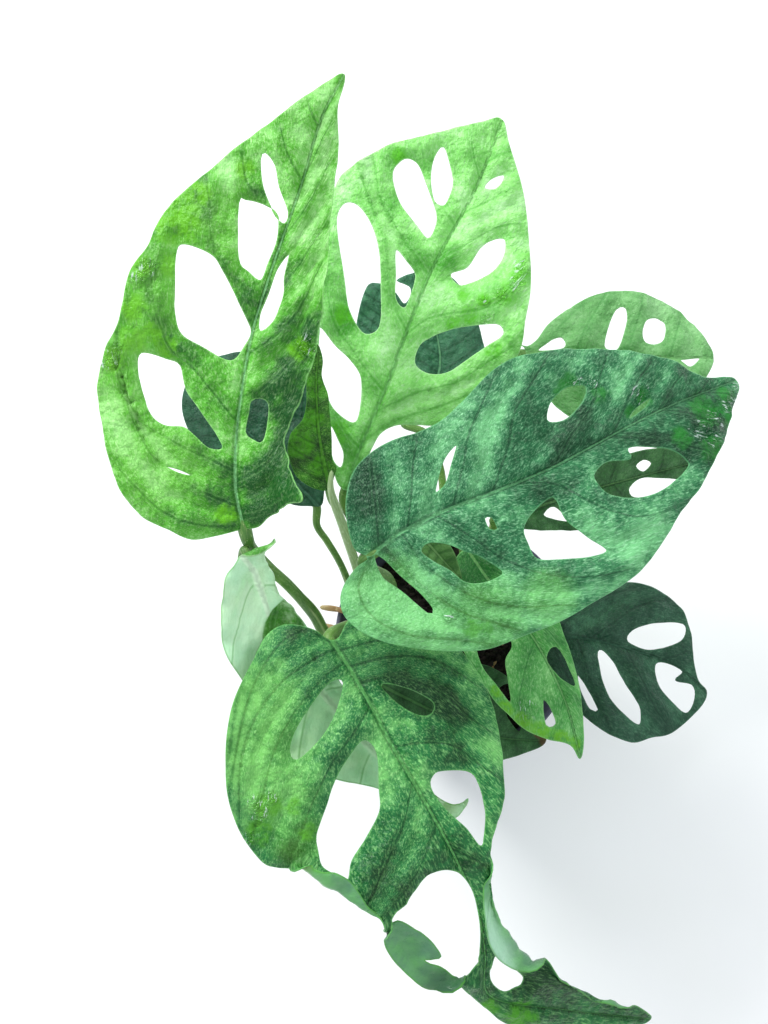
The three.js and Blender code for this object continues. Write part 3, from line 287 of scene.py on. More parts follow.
LEAVES["leaf_front_young"] = dict(
    base=(6, 38, 132), heading=-64, pitch=3, roll=0, fold=0.06, wave=dict(length=50, height=2, phase=0),
    rib=((0, 0), (16, 2), (52, 8), (84, 7), (109, 1)),
    outline=(
        (-1.5, -0.5), (-0.5, -6), (6, -14.5), (16, -21), (28.5, -24), (43.5, -24.5), (57.5, -24),
        (70, -22.5), (79.5, -19), (87.5, -15.5), (95, -9.5), (102.5, -0.5), (110, 0.5), (103.5, 6),
        (92, 11.5), (82.5, 15.5), (68, 19.5), (55, 21.5), (40.5, 23.5), (24.5, 21.5), (10.5, 14),
        (2, 5),
    ),
    holes=(
        ((34.5, -15), (32.5, -8), (38, -3), (49.5, -2.5), (55, -9), (64, -12.5), (73.5, -16.5),
         (63, -19), (50.5, -20.5)),
        ((59, 13), (62, 16.5), (79.5, 15), (74.5, 10.5), (63.5, 8.5)),
        ((79, -2), (84.5, -0.5), (91.5, -2), (90, -6.5)),
    ),
)
LEAVES["leaf_folded"] = dict(
    base=(-59, 51, 200), heading=95, pitch=12, roll=6, fold=0.1,
    rib=((0, 0), (11.5, 1.5), (23, 2.5), (33, 2.5), (45, 2), (53.5, 1), (62.5, 0)),
    outline=(
        (-1, 1.5), (1, -1), (4, -2), (8.5, -3.5), (12, -2), (22, -2.5), (31.5, -2.5), (40, -2.5),
        (46, -1), (49.5, -0.5), (55, -1.5), (59.5, -1), (62.5, 0), (60.5, 2), (54.5, 4.5), (45.5, 6),
        (36, 7), (30, 9), (27, 12), (23.5, 15), (17, 16.5), (10.5, 15.5), (5.5, 13.5), (1.5, 9),
        (-0.5, 4.5),
    ),
)
LEAVES["leaf_behind_left"] = dict(
    base=(-68, 53, 172), heading=131, pitch=7, roll=0, fold=0.06,
    wave=dict(length=50, height=2, phase=0),
    rib=((0, 0), (35, 2), (80, 0.5)),
    outline=(
        (-2, 1.5), (5.5, 9), (18.5, 14.5), (37, 21), (54, 23.5), (69.5, 19), (78.5, 10), (81.5, -1),
        (78.5, -13), (70, -24), (58, -32.5), (45, -35), (36.5, -31), (28.5, -25.5), (20, -20),
        (12, -15), (4, -10), (-2, -4.5), (-4, -1.5),
    ),
)
LEAVES["leaf_behind"] = dict(
    base=(-22, 104, 150), heading=87, pitch=10, roll=0, fold=0.06,
    wave=dict(length=55, height=2, phase=0),
    rib=((0, 0), (19, -12), (39, -10.5), (58, -3.5), (68, 3)),
    outline=(
        (-1, 1), (2.5, 9.5), (14.5, 19), (29.5, 27), (40, 29), (51, 27.5), (61.5, 24), (62.5, 19.5),
        (60.5, 14.5), (58, 10.5), (53, 6.5), (57, 3.5), (61.5, 3.5), (63.5, 7), (64.5, 10.5), (67, 7),
        (69.5, 1.5), (70.5, -9.5), (64, -19.5), (53, -27), (40, -32), (28, -34.5), (14, -31),
        (4, -22.5), (-1, -10),
    ),
)
LEAVES["leaf_low_front"] = dict(
    base=(-41, -23, 118), heading=-18, pitch=-3, roll=0, fold=0.05,
    wave=dict(length=50, height=2, phase=0),
    rib=((0, 0), (32, -4.5), (62, -7), (89, -1)),
    outline=(
        (-1.5, 0.5), (0.5, 7), (9.5, 13.5), (23, 19.5), (40, 23.5), (56, 23.5), (69.5, 18.5), (80, 9),
        (88.5, -1), (79, -10.5), (67.5, -18), (54.5, -25.5), (40, -30.5), (24, -28), (9.5, -17.5),
        (1, -7),
    ),
    holes=(
        ((59, 15), (64, 19.5), (71.5, 11.5), (75.5, -0.5), (69.5, 2), (63.5, 8)),
    ),
)
LEAVES["leaf_small"] = dict(
    base=(-24, 49, 150), heading=-50, pitch=0, roll=0, fold=0.05,
    rib=((0, 0), (38, 0.5)),
    outline=(
        (-2, 0), (2, -4.5), (11, -7), (21, -6), (30.5, -2.5), (37.5, 0.5), (31.5, 4), (22, 7), (12, 7),
        (3, 5),
    ),
)

# Secondary veins that show, as (u, v) points from the midrib outwards, left side first.
VEINS = {
    "leaf_back_left": (
        (((1, 1), (-2, 14), (0, 33), (9, 48)), ((8, 4), (12, 22), (18, 38), (30, 51), (46, 61)),
         ((22, 8), (25, 20), (28, 34), (34, 50), (48, 62), (66, 67)),
         ((42, 12), (52, 24), (60, 34), (66, 45), (80, 53), (96, 58)),
         ((80, 14), (93, 21), (104, 30), (112, 37), (126, 41)),
         ((120, 10), (131, 20), (138, 29), (148, 33)), ((142, 7), (152, 15), (162, 20))),
        (((4, 1), (8, -6), (14, -18), (20, -32)), ((18, 8), (26, -2), (34, -8), (46, -11)),
         ((50, 12), (60, 3), (72, -5), (86, -10)), ((70, 13), (84, 1), (98, -6), (114, -10)),
         ((92, 12), (108, 1), (124, -5)), ((118, 9), (134, 2), (152, -2)),
         ((145, 6), (160, 2), (172, 0))),
    ),
    "leaf_back": (
        (((19, 2), (24, 11), (30, 20), (42, 31)), ((46, 2), (51, 11), (58, 22), (65, 33), (78, 42)),
         ((74, 3), (80, 10), (90, 18), (104, 25), (116, 36)),
         ((100, 4), (106, 13), (114, 25), (124, 37), (134, 43)),
         ((124, 1), (129, 9), (140, 21), (150, 28)), ((146, 0), (157, 7), (165, 11))),
        (((22, 1), (35, -7), (48, -22), (62, -36)), ((36, 1), (50, -11), (62, -26), (80, -39)),
         ((72, 2), (83, -5), (92, -20), (101, -31), (116, -36)),
         ((106, 2), (118, -7), (129, -15), (136, -26)), ((130, 0), (141, -10), (150, -17))),
    ),
    "leaf_top": (
        (((3, 1), (8, 14), (14, 30)), ((17, 4), (24, 14), (31, 26), (38, 36)),
         ((38, 4), (50, 17), (58, 28), (70, 38)), ((56, 2), (70, 16), (79, 28), (98, 40)),
         ((84, 1), (97, 9), (109, 15), (120, 26), (128, 34)),
         ((113, 2), (124, 10), (133, 17), (147, 24)), ((138, 3), (149, 9), (160, 14))),
        (((0, 0), (-12, -11), (-10, -27), (5, -41), (20, -50)),
         ((5, 1), (9, -13), (15, -27), (23, -39), (35, -50)),
         ((14, 2), (17, -14), (24, -27), (33, -38), (46, -47), (62, -54)),
         ((30, 2), (39, -11), (48, -26), (60, -39), (76, -48), (92, -52)),
         ((66, 0), (81, -7), (89, -19), (99, -30), (113, -37), (130, -37)),
         ((112, 1), (125, -6), (138, -12), (150, -22)), ((140, 2), (152, -5), (164, -14))),
    ),
    "leaf_front": (
        (((4, 0), (9, 18), (17, 32), (28, 43)), ((12, 1), (18, 20), (29, 35), (46, 45)),
         ((20, 1), (24, 13), (33, 24), (46, 32), (62, 38)), ((50, 1), (55, 12), (64, 24), (80, 31)),
         ((98, 1), (108, 8), (118, 12)), ((170, -8), (182, 10), (190, 20))),
        (((0, 0), (-9, -6), (-11, -18), (-2, -36), (12, -51), (28, -64)),
         ((3, 0), (2, -12), (4, -28), (12, -45), (26, -59), (42, -68)),
         ((9, 0), (11, -12), (17, -29), (27, -44), (42, -58)),
         ((30, 0), (36, -10), (43, -26), (52, -39), (64, -54)),
         ((66, 0), (78, -10), (88, -23), (98, -38)), ((86, 0), (96, -12), (104, -28)),
         ((160, -9), (172, -14), (186, -16))),
    ),
    "leaf_back_right": (
        (((8, 1), (15, 11), (25, 22)), ((26, 2), (31, 14), (40, 28)), ((50, 1), (56, 14), (61, 30)),
         ((72, 0), (77, 12), (81, 22))),
        (((12, 2), (20, -12), (32, -27)), ((34, 1), (44, -12), (56, -30)),
         ((56, 0), (66, -12), (77, -24))),
    ),
    "leaf_right": (
        (((4, 1), (8, 12), (18, 26), (34, 38)), ((20, 6), (28, 16), (38, 29), (52, 38)),
         ((56, 8), (64, 14), (70, 22))),
        (((3, 1), (8, -8), (18, -18), (30, -30)), ((14, 4), (22, -7), (31, -19), (40, -31)),
         ((38, 8), (49, -5), (60, -17), (70, -24))),
    ),
    "leaf_front_young": (
        (((8, 1), (20, 11), (36, 20)), ((34, 6), (48, 14), (64, 19)), ((72, 8), (84, 12), (94, 10))),
        (((6, 0), (15, -10), (28, -20)), ((22, 3), (30, -10), (42, -22)),
         ((52, 8), (64, -4), (78, -14), (90, -16))),
    ),
}

# Stems, stalks and roots, as in the CAD source: their courses, radii and seats.
STEM_RADIUS = 4.5
GAP = 0.3
STEMS = {
    "stem_left": ((-29, -4, 62), (-29, -4, 84), (-29, -4, 104), (-32, -2, 128), (-34, 0, 148)),
    "stem_right": ((8, 4, 62), (8, 4, 80), (8, 4, 101), (9, 6, 120)),
}
STALKS = {
    "leaf_back_left": dict(
        stem="stem_left", height=127, radius=2.6,
        via=((-46, -10, 136), (-60.5, -7, 145), (-68, 3, 160), (-77.5, 12, 180), (-85, 18, 187),
             (-91.5, 24, 198.5)),
    ),
    "leaf_back": dict(stem="stem_left", height=141, radius=2.2, via=((-38, 14, 158), (-46, 35, 177))),
    "leaf_top": dict(stem="stem_left", height=147, radius=2.4, via=((-31, 7, 168), (-34, 13, 192))),
    "leaf_front": dict(
        stem="stem_left", height=135, radius=2.4, overlap=2.5,
        via=((-44, -4, 152), (-52, -6, 180)),
    ),
    "leaf_curled": dict(
        stem="stem_left", height=112, radius=1.8, face=1, overlap=2.5,
        via=((-48, -15, 124), (-64, -18, 146), (-72, -10, 154.5), (-83, 1, 170), (-91, 11.5, 184),
             (-96, 18.5, 197), (-94, 22, 205.5)),
    ),
    "leaf_folded": dict(
        stem="stem_left", height=126, radius=1.6,
        via=((-42, 12, 140), (-48.5, 26, 156), (-52, 33, 173), (-56.5, 44.5, 190)),
    ),
    "leaf_behind_left": dict(
        stem="stem_left", height=117, radius=1.7, overlap=2.5,
        via=((-46, 8, 126), (-56, 29, 145), (-62, 37.5, 157), (-66.5, 43.5, 164)),
    ),
    "leaf_low_front": dict(
        stem="stem_left", height=106, radius=1.8,
        via=((-40, -14, 109.5), (-46, -20, 113)),
    ),
    "leaf_back_right": dict(
        stem="stem_right", height=106, radius=2.2,
        via=((14, 30, 118), (22, 70, 136), (27, 105, 150)),
    ),
    "leaf_under_top": dict(
        stem="stem_right", height=113, radius=1.8,
        via=((13, 22, 120), (18, 41, 130), (18, 49, 141)),
    ),
    "leaf_right": dict(stem="stem_right", height=103, radius=2, via=((20, 3, 109), (32, 2, 117))),
    "leaf_front_young": dict(
        stem="stem_right", height=118, radius=1.8,
        via=((5, 20, 122), (4, 32, 127)),
    ),
    "leaf_behind": dict(
        stem="stem_right", height=110, radius=2,
        via=((-4, 28, 121), (-6, 58, 134), (-8, 78, 141), (-15, 94, 146)),
    ),
    "leaf_small": dict(stem="stem_right", height=107, radius=1.5, via=((-8, 16, 118), (-20, 36, 136))),
}
SPEAR = dict(
    stem="stem_left", height=133, radius=1.6, radii=(1.6, 1.9, 2, 2.1, 2.2, 2, 0.8),
    via=((-44, 12, 154), (-49, 25.5, 170), (-54, 37, 195), (-56.5, 42.5, 203), (-58, 48, 209),
         (-57.5, 54.5, 214)),
)
ROOTS = {
    "aerial_root_1": dict(
        stem="stem_left", height=104, radius=1.6,
        via=((-47, 9, 108.2), (-57.2, 13.2, 110), (-68, 15, 108.6)),
    ),
    "aerial_root_2": dict(
        stem="stem_left", height=99.6, radius=1.8,
        via=((-47, 1, 108.2), (-58.6, 3.2, 110.2), (-66, 6, 108.6)),
    ),
    "aerial_root_3": dict(
        stem="stem_left", height=104, radius=1.7,
        via=((-47, -7.5, 107.8), (-58.3, -7.2, 110.1), (-74, -4, 107.6)),
    ),
}

# Pot and soil. The profile runs over (radius, height) from the middle of the base, outside and
# then inside.
POT_SIDES = 144
POT_FLOOR = 1.4
PLATE_STEP = 7.0
POT_PROFILE = (
    (41, 0), (42.3, 0.5), (43, 2), (57, 99), (58.6, 99), (59.5, 99.8), (60, 107), (59.6, 107.8),
    (58.8, 108), (58, 107.9), (57.6, 107.2), (55.6, 101), (41.6, 3.4), (40.9, 1.9), (39.6, 1.4),
)
DRAIN = dict(count=6, radius=4, circle=27, sides=24)
SOIL = dict(edge=92, crown=97, lump=1.6, floor=1.7, foot=38.6, clear=0.5)
SOIL_RINGS, SOIL_SIDES = 60, 150
SOIL_BANDS = (60, 4)  # heights of the rings down its side
CRUMBS, CHIPS = 900, 70

# The colours each leaf wears: its face from deep to pale, its speckles, its unspeckled lush
# patches, its midrib and its back, and then how thick the speckles lie. leaf_front's back green is
# darkened as painted shade, and leaf_curled's back is pale partly in its own right and partly as
# painted light.
LOOK_KEYS = ("deep", "mid", "pale", "fleck", "lush", "rib", "back", "flecks")
LOOKS = {
    "leaf_back_left": ("#0c5414", "#58b42c", "#9ee484", "#ccf8b0", "#64b80c", "#80c680", "#8fbf7d", 0.45),
    "leaf_back": ("#4ca632", "#8de070", "#c2fbb0", "#dcfdd2", "#58c010", "#7ccc6c", "#9cc98c", 0.4),
    "leaf_top": ("#003a1c", "#257042", "#70be7c", "#aef2b8", "#187a1c", "#6cb478", "#8ab884", 0.5),
    "leaf_front": ("#003a14", "#22763a", "#74c268", "#aaf094", "#4a9e0c", "#6ab864", "#5a8d68", 0.6),
    "leaf_curled": ("#2c7a1c", "#5aa83c", "#d4f6c8", "#bfe6a6", "#4ba00c", "#dcfad4", "#c0f2c4", 0.4),
    "leaf_back_right": ("#43893f", "#69a95f", "#8cc682", "#ace0a0", "#6fb53c", "#74b066", "#86b277", 0.35),
    "leaf_under_top": ("#1f4623", "#3a6c3b", "#5b9156", "#7cb074", "#3f7f2c", "#6b9a5e", "#6d965f", 0.3),
    "leaf_right": ("#0f3625", "#204c35", "#407454", "#6a9a78", "#2c6630", "#2f5a43", "#5f8a66", 0.35),
    "leaf_front_young": ("#267230", "#55a650", "#8bd07c", "#b6eca6", "#69b618", "#8ac87c", "#8fc080", 0.6),
    "leaf_folded": ("#063600", "#1a5a02", "#448f22", "#a0e868", "#469606", "#549c28", "#86b870", 0.6),
    "leaf_behind_left": ("#15402a", "#22523a", "#3a7054", "#6a9882", "#3b7a50", "#44745c", "#6b9678", 0.12),
    "leaf_behind": ("#1c4c33", "#2f664a", "#4f8a68", "#74ae88", "#2f7a34", "#6fa67c", "#6b9670", 0.3),
    "leaf_low_front": ("#193f1f", "#2c5b31", "#4b7f4b", "#6c9f68", "#356f22", "#4f8048", "#628a58", 0.35),
    "leaf_small": ("#31612a", "#4b7f3b", "#6fa25a", "#93c07c", "#5a962c", "#79a464", "#7fa46c", 0.35),
}
# Where a blade is paler (+) or deeper (-) than its mean, as (u, v, reach, amount): partly its own
# paler and deeper areas, partly painted shade in valleys, folds and shaded lobes and painted light
# and sheen on lit strips.
TONES_AND_SHADING = {
    "leaf_back_left": (
        (34, 58, 16, 0.6), (12, 42, 14, 0.35), (12, 12, 12, -0.6), (22, -24, 18, -1.2),
        (8, -6, 10, -0.9), (48, -6, 14, -1.0), (72, -6, 14, -0.9), (100, -9, 16, 0.25),
        (124, -3, 16, 0.35), (150, 4, 16, 0.35), (170, 8, 14, 0.5), (140, 36, 10, 0.5),
        (40, 6, 12, 0.3), (60, 14, 12, 0.2), (88, -9, 10, -0.5), (58, -9, 10, -0.4), (20, -2, 8, -0.8),
        (30, -7, 8, -0.6), (13, -9, 8, -0.5), (66, 36, 8, -0.5), (80, 56, 10, -0.3), (98, 12, 10, -0.6),
        (110, 8, 8, -0.6), (44, 22, 12, -0.1), (120, 48, 12, -0.35), (134, 22, 6, -0.5),
    ),
    "leaf_back": (
        (12, 12, 10, -0.6), (36, 8, 8, -0.5), (70, 28, 8, -1.0), (84, 38, 7, -0.6), (108, -4, 7, -1.1),
        (100, 12, 8, -0.5), (140, 34, 7, -1.0), (122, 28, 7, -0.5), (150, 14, 8, -0.4),
        (55, 24, 7, 0.5), (60, -12, 12, 0.2), (130, 48, 12, 0.5), (164, 2, 8, -0.2), (125, -8, 12, 0.4),
        (104, -36, 12, -0.2), (52, 18, 6, -0.3),
    ),
    "leaf_top": (
        (2, 22, 12, -0.7), (14, 30, 9, -0.6), (42, 18, 12, 0.3), (60, 26, 16, 0.5), (88, 12, 14, -0.8),
        (104, 10, 10, -0.7), (112, 30, 14, 0.2), (24, 6, 9, 0.5), (-14, -16, 12, 0.8),
        (-4, -30, 14, 0.8), (14, -44, 14, 0.7), (40, -50, 16, 0.4), (50, -10, 12, -0.2),
        (80, -50, 16, 0.3), (112, -42, 14, 0.2), (70, -8, 10, -0.4), (126, -6, 10, -0.9),
        (160, -8, 16, -1.0), (150, -24, 12, -0.5), (134, 22, 14, 0.0), (30, -38, 8, -0.3),
        (28, -10, 12, 0.3), (14, -20, 9, 0.5), (86, -22, 10, 0.1), (101, -43, 14, 0.6),
        (88, -30, 8, 0.4), (60, -54, 10, 0.4), (10, 20, 8, -0.4), (4, 31, 6, -0.4), (70, 30, 8, 0.3),
    ),
    "leaf_front": (
        (-12, -12, 8, -0.7), (4, -34, 14, 0.3), (24, -50, 16, 0.6), (48, -40, 14, 0.5),
        (40, -64, 12, 0.3), (64, -58, 9, -0.6), (30, 18, 12, -0.9), (46, 30, 10, -1.3),
        (62, 20, 10, -0.6), (16, 30, 9, 0.4), (44, 42, 9, 0.4), (76, 38, 9, 0.5), (20, -4, 10, 0.2),
        (92, -24, 14, -0.6), (104, 4, 10, -0.4), (76, -8, 12, 0.1), (150, -18, 16, -0.8),
        (36, 2, 12, 0.5), (58, -6, 14, 0.4), (58, 8, 10, 0.3), (136, 22, 12, 1.2), (154, 22, 12, 1.0),
        (150, -45, 8, -0.8), (182, 10, 14, -1.0), (206, 20, 18, -0.9), (234, 42, 14, -0.6),
    ),
    "leaf_front_young": (
        (4, 4, 14, -1.0), (12, -4, 10, -0.8), (24, -18, 10, 0.5), (60, 14, 10, -0.3),
        (80, -18, 10, -0.2),
    ),
    "leaf_folded": (
        (14, 13, 6, -1.1), (24, 13, 6, -0.9), (6, 10, 4, 0.9), (40, -0.5, 5, 0.6), (33, 1, 4, -0.4),
        (54, 3, 8, 0.1), (14, 0, 5, -0.2),
    ),
    "leaf_back_right": ((30, -20, 18, -0.4), (70, 22, 14, 0.4), (40, 24, 12, -0.2)),
}
# Patches as (u, v, reach): lush and unspeckled, wet (glossier, with painted glints on the face),
# broadly yellow-green, and dried brown.
LUSH = {
    "leaf_back_left": (
        (56, 66, 7), (66, 60, 8), (78, 62, 7), (95, 62, 6), (116, 52, 12), (128, 46, 7), (66, 46, 6),
        (77, -7, 6), (142, 30, 5), (70, 52, 6), (4, 8, 6), (98, 50, 6),
    ),
    "leaf_back": (
        (84, -15, 4), (90, -20, 5), (97, -15, 4), (104, -32, 6), (114, -34, 6), (122, -32, 5),
        (80, -36, 5), (8, 12, 8), (22, 12, 7), (70, 30, 6), (142, 35, 5), (98, -24, 4),
    ),
    "leaf_top": (
        (160, -6, 10), (170, -10, 9), (154, -22, 8), (176, -3, 6), (106, 29, 6), (100, 26, 4),
        (116, 19, 5), (134, 10, 6), (126, 7, 4), (22, -45, 5), (28, -48, 4), (142, -12, 6),
    ),
    "leaf_front": (
        (44, -56, 7), (52, -64, 7), (50, -47, 4), (62, -47, 5), (192, -4, 9), (200, -2, 7),
        (180, -14, 6),
    ),
    "leaf_front_young": (
        (84, -16, 6), (92, -10, 6), (98, -3, 5), (66, -20, 4), (75, -20, 5), (103, 2, 4),
    ),
    "leaf_folded": ((20, 11, 8), (30, 5, 7), (10, 4, 6), (44, 3, 6)),
}
WET = {
    "leaf_top": (
        (152, -12, 5), (158, -17, 6), (163, -11, 5), (176, -8, 5), (184, -3, 4), (109, 27, 4),
        (116, 24, 3), (132, 12, 4), (136, 13, 3), (16, -37, 2),
    ),
    "leaf_front": ((42, -53, 3), (45, -60, 4), (40, -60, 3), (52, -70, 3)),
    "leaf_back_left": ((55, 68, 4), (60, 66, 3), (95, 59, 4), (90, 62, 3), (79, -11, 5)),
    "leaf_back": ((91, -28, 3), (103, -29, 3), (110, -34, 4), (118, -33, 4), (98, -24, 2)),
    "leaf_front_young": ((80, -11, 5),),
}
WARM = {
    "leaf_top": ((-4, -20, 20), (7, -38, 20), (31, -44, 18), (56, -48, 12)),
    "leaf_front": ((6, -38, 16), (26, -46, 20), (42, -50, 16), (62, -52, 12)),
    "leaf_back_left": ((20, 40, 20), (50, 60, 20), (90, 50, 20), (120, 30, 16)),
    "leaf_curled": ((40, -18, 14), (60, -14, 12), (128, 8, 14)),
}
DRY = {
    "leaf_low_front": ((90, 0, 5), (84, 2, 3)),
}


def smooth(x):
    """Goes smoothly from 0 to 1 as x does, and stays there beyond."""
    x = np.clip(x, 0, 1)
    return x * x * (3 - 2 * x)


def bell(x):
    return np.exp(-(x**2))


def unit(vectors):
    length = np.linalg.norm(vectors, axis=-1, keepdims=True)
    return vectors / np.maximum(length, 1e-9)


# ---------------------------------------------------------------- the leaf's own shape


def rib_at(rib, u):
    """The midrib's sideways offset at u: a cubic through the rib's points."""
    us, vs = np.array(rib, float).T
    last = len(us) - 1
    before = np.maximum(np.arange(last + 1) - 1, 0)
    after = np.minimum(np.arange(last + 1) + 1, last)
    slope = (vs[after] - vs[before]) / (us[after] - us[before])
    i = np.clip(np.searchsorted(us, u, side="right") - 1, 0, last - 1)
    span = us[i + 1] - us[i]
    t = np.clip((u - us[i]) / span, 0, 1)
    rest = 1 - t
    ends = vs[i] * (1 + 2 * t) * rest * rest + vs[i + 1] * (3 - 2 * t) * t * t
    return ends + span * (slope[i] * t * rest * rest - slope[i + 1] * t * t * rest)


def bend(p, at, along, radius, turn, span=None, ramp=0.25, bow=0):
    """Rolls what lies to the left of a line, bowed out by bow, up by turn degrees."""
    e = np.array([cos(radians(along)), sin(radians(along)), 0])
    m = np.array([-e[1], e[0], 0])
    start = np.array([at[0], at[1], 0.0])
    s = (p - start) @ e
    d = (p - start) @ m
    sign = np.sign(turn)
    limit = abs(radians(turn)) * np.ones_like(s)
    sag = np.zeros_like(s)
    if span:
        limit *= smooth(s / span / ramp) * smooth((1 - s / span) / ramp)
        sag = 4 * bow * np.maximum(s / span * (1 - s / span), 0)
    d = d - sag
    angle = np.clip(d / radius, 0, limit)
    rest = np.where(d > 0, d - radius * angle, 0)
    arm = radius - p[:, 2] * sign
    across = np.where(d > 0, arm * np.sin(angle) + rest * np.cos(angle), d)
    up = np.where(d > 0, radius - arm * np.cos(angle) + rest * np.sin(angle), p[:, 2] * sign)
    side = (across + sag)[:, None] * m
    return start + s[:, None] * e + side + (up * sign)[:, None] * UP


def twist(p, start, end, turn, reach, ramp):
    """Turns the strip within reach of a line over about that line."""
    start = np.array([*start, 0.0])
    e = np.array([*end, 0.0]) - start
    length = np.linalg.norm(e)
    e /= length
    m = np.array([-e[1], e[0], 0])
    s = (p - start) @ e
    d = (p - start) @ m
    z = p[:, 2]
    angle = radians(turn) * smooth(s / length / ramp) * smooth((1 - s / length) / ramp)
    across = d * np.cos(angle) - z * np.sin(angle)
    up = d * np.sin(angle) + z * np.cos(angle)
    turned = start + s[:, None] * e + across[:, None] * m + up[:, None] * UP
    return np.where((np.abs(d) > reach)[:, None], p, turned)


def leaf_axes(leaf):
    """The directions along the posed blade, to its left and out of its face."""
    h, p, r = (radians(leaf[key]) for key in ("heading", "pitch", "roll"))
    along = np.array([cos(p) * cos(h), cos(p) * sin(h), sin(p)])
    level = np.array([-sin(h), cos(h), 0])
    left = level * cos(r) + np.cross(along, level) * sin(r)
    return along, left, np.cross(along, left)


def leaf_points(leaf, uv, lift=0.0):
    """The blade's middle surface for flat points, raised by lift before it is curled."""
    u, v = uv[:, 0], uv[:, 1]
    off = v - rib_at(leaf["rib"], u)
    crease, full_wave = 4, 25
    rise = leaf["fold"] * (np.hypot(off, crease) - crease) - leaf.get("cup", 0) * off**2 / 1000
    wave = leaf.get("wave")
    if wave:
        phase = 2 * pi * u / wave["length"] + radians(wave["phase"]) + (off > 0)
        rise = rise + wave["height"] * np.sin(phase) * np.minimum(1, (off / full_wave) ** 2)
    p = np.stack([u, v, rise + lift], axis=1)
    for curl in leaf.get("curls", ()):
        settings = {key: value for key, value in curl.items() if key != "kind"}
        p = twist(p, **settings) if curl["kind"] == "twist" else bend(p, **settings)
    return np.array(leaf["base"], float) + p @ np.array(leaf_axes(leaf))


# ---------------------------------------------------------------- triangles in the flat


def smooth_loop(points, step):
    """A smooth closed loop through the given points, with points about step apart."""
    p = np.array(points, float)
    loop = []
    for i in range(len(p)):
        a, b, c, d = p[i - 1], p[i], p[(i + 1) % len(p)], p[(i + 2) % len(p)]
        count = max(1, round(np.linalg.norm(c - b) / step))
        for t in np.arange(count) / count:
            bow = (2 * a - 5 * b + 4 * c - d) * t + (3 * b - a - 3 * c + d) * t * t
            loop.append(b + 0.5 * t * ((c - a) + bow))
    return np.array(loop)


def inside(points, loops):
    """Which points lie inside the first loop and outside the others."""
    odd = np.zeros(len(points), bool)
    x, y = points[:, 0:1], points[:, 1:2]
    for loop in loops:
        a, b = loop, np.roll(loop, -1, axis=0)
        crosses = (a[:, 1] > y) != (b[:, 1] > y)
        rise = np.where(b[:, 1] == a[:, 1], 1, b[:, 1] - a[:, 1])
        where = a[:, 0] + (y - a[:, 1]) * (b[:, 0] - a[:, 0]) / rise
        odd ^= (crosses & (x < where)).sum(axis=1) % 2 == 1
    return odd


def tree_of(points):
    tree = kdtree.KDTree(len(points))
    for i, (x, y) in enumerate(points):
        tree.insert((x, y, 0), i)
    tree.balance()
    return tree


def clear_of(points, taken, distance):
    """The points that keep their distance from all that are taken."""
    tree = tree_of(taken)
    return np.array([p for p in points if tree.find((p[0], p[1], 0))[2] > distance]).reshape(-1, 2)


def fill(loops, rows, step):
    """Triangles over the area inside the loops, through rows of points and an even grid."""
    row_room, grid_room, jitter = 0.45 * step, 0.6 * step, 0.12
    taken = np.concatenate(loops)
    for row in rows:
        row = row[inside(row, loops)]
        if len(row):
            taken = np.concatenate([taken, clear_of(row, taken, row_room)])
    low, high = loops[0].min(axis=0), loops[0].max(axis=0)
    height = step * 3**0.5 / 2
    grid = []
    for j in range(int((high[1] - low[1]) / height) + 1):
        xs = np.arange(low[0] + step / 2 * (j % 2), high[0], step)
        grid.append(np.stack([xs, np.full(len(xs), low[1] + j * height)], axis=1))
    grid = np.concatenate(grid)
    grid += random.uniform(-jitter, jitter, grid.shape) * step
    grid = grid[inside(grid, loops)]
    points = np.concatenate([taken, clear_of(grid, taken, grid_room)])
    edges = []
    start = 0
    for loop in loops:
        count = len(loop)
        edges += [(start + i, start + (i + 1) % count) for i in range(count)]
        start += count
    nearest, least_area = 1e-6, 1e-7
    found = delaunay_2d_cdt([Vector(p) for p in points], edges, [], 0, nearest)
    points = np.array([(p.x, p.y) for p in found[0]])
    triangles = np.array(found[2])
    triangles = triangles[inside(points[triangles].mean(axis=1), loops)]
    a, b, c = (points[triangles[:, k]] for k in range(3))
    area = (b[:, 0] - a[:, 0]) * (c[:, 1] - a[:, 1]) - (b[:, 1] - a[:, 1]) * (c[:, 0] - a[:, 0])
    triangles[area < 0] = triangles[area < 0][:, ::-1]
    triangles = triangles[np.abs(area) > least_area]
    used, place = np.unique(triangles, return_inverse=True)
    return points[used], place.reshape(triangles.shape)


def rim_edges(triangles):
    """The directed edges that belong to one triangle only."""
    edges = np.concatenate([triangles[:, [0, 1]], triangles[:, [1, 2]], triangles[:, [2, 0]]])
    seen = {tuple(edge) for edge in edges}
    return np.array([edge for edge in edges if (edge[1], edge[0]) not in seen])


def point_normals(points, triangles):
    a, b, c = (points[triangles[:, k]] for k in range(3))
    facing = np.cross(b - a, c - a)
    normals = np.zeros_like(points)
    for k in range(3):
        np.add.at(normals, triangles[:, k], facing)
    return unit(normals)


# ---------------------------------------------------------------- veins


def young_veins(leaf):
    """Evenly spaced veins that sweep towards the tip, for a leaf whose veins hardly show."""
    length = leaf["rib"][-1][0]
    count = 7
    sides = []
    for side in (1, -1):
        veins = []
        for i in range(count):
            start = length * (0.03 + 0.13 * i + 0.02 * (side < 0))
            course = []
            for w in np.linspace(0, 0.3 * length, 5):
                u = start + 0.45 * w + 0.018 * w * w * (1 - i / count)
                course.append((u, rib_at(leaf["rib"], u) + side * w))
            veins.append(course)
        sides.append(veins)
    return sides


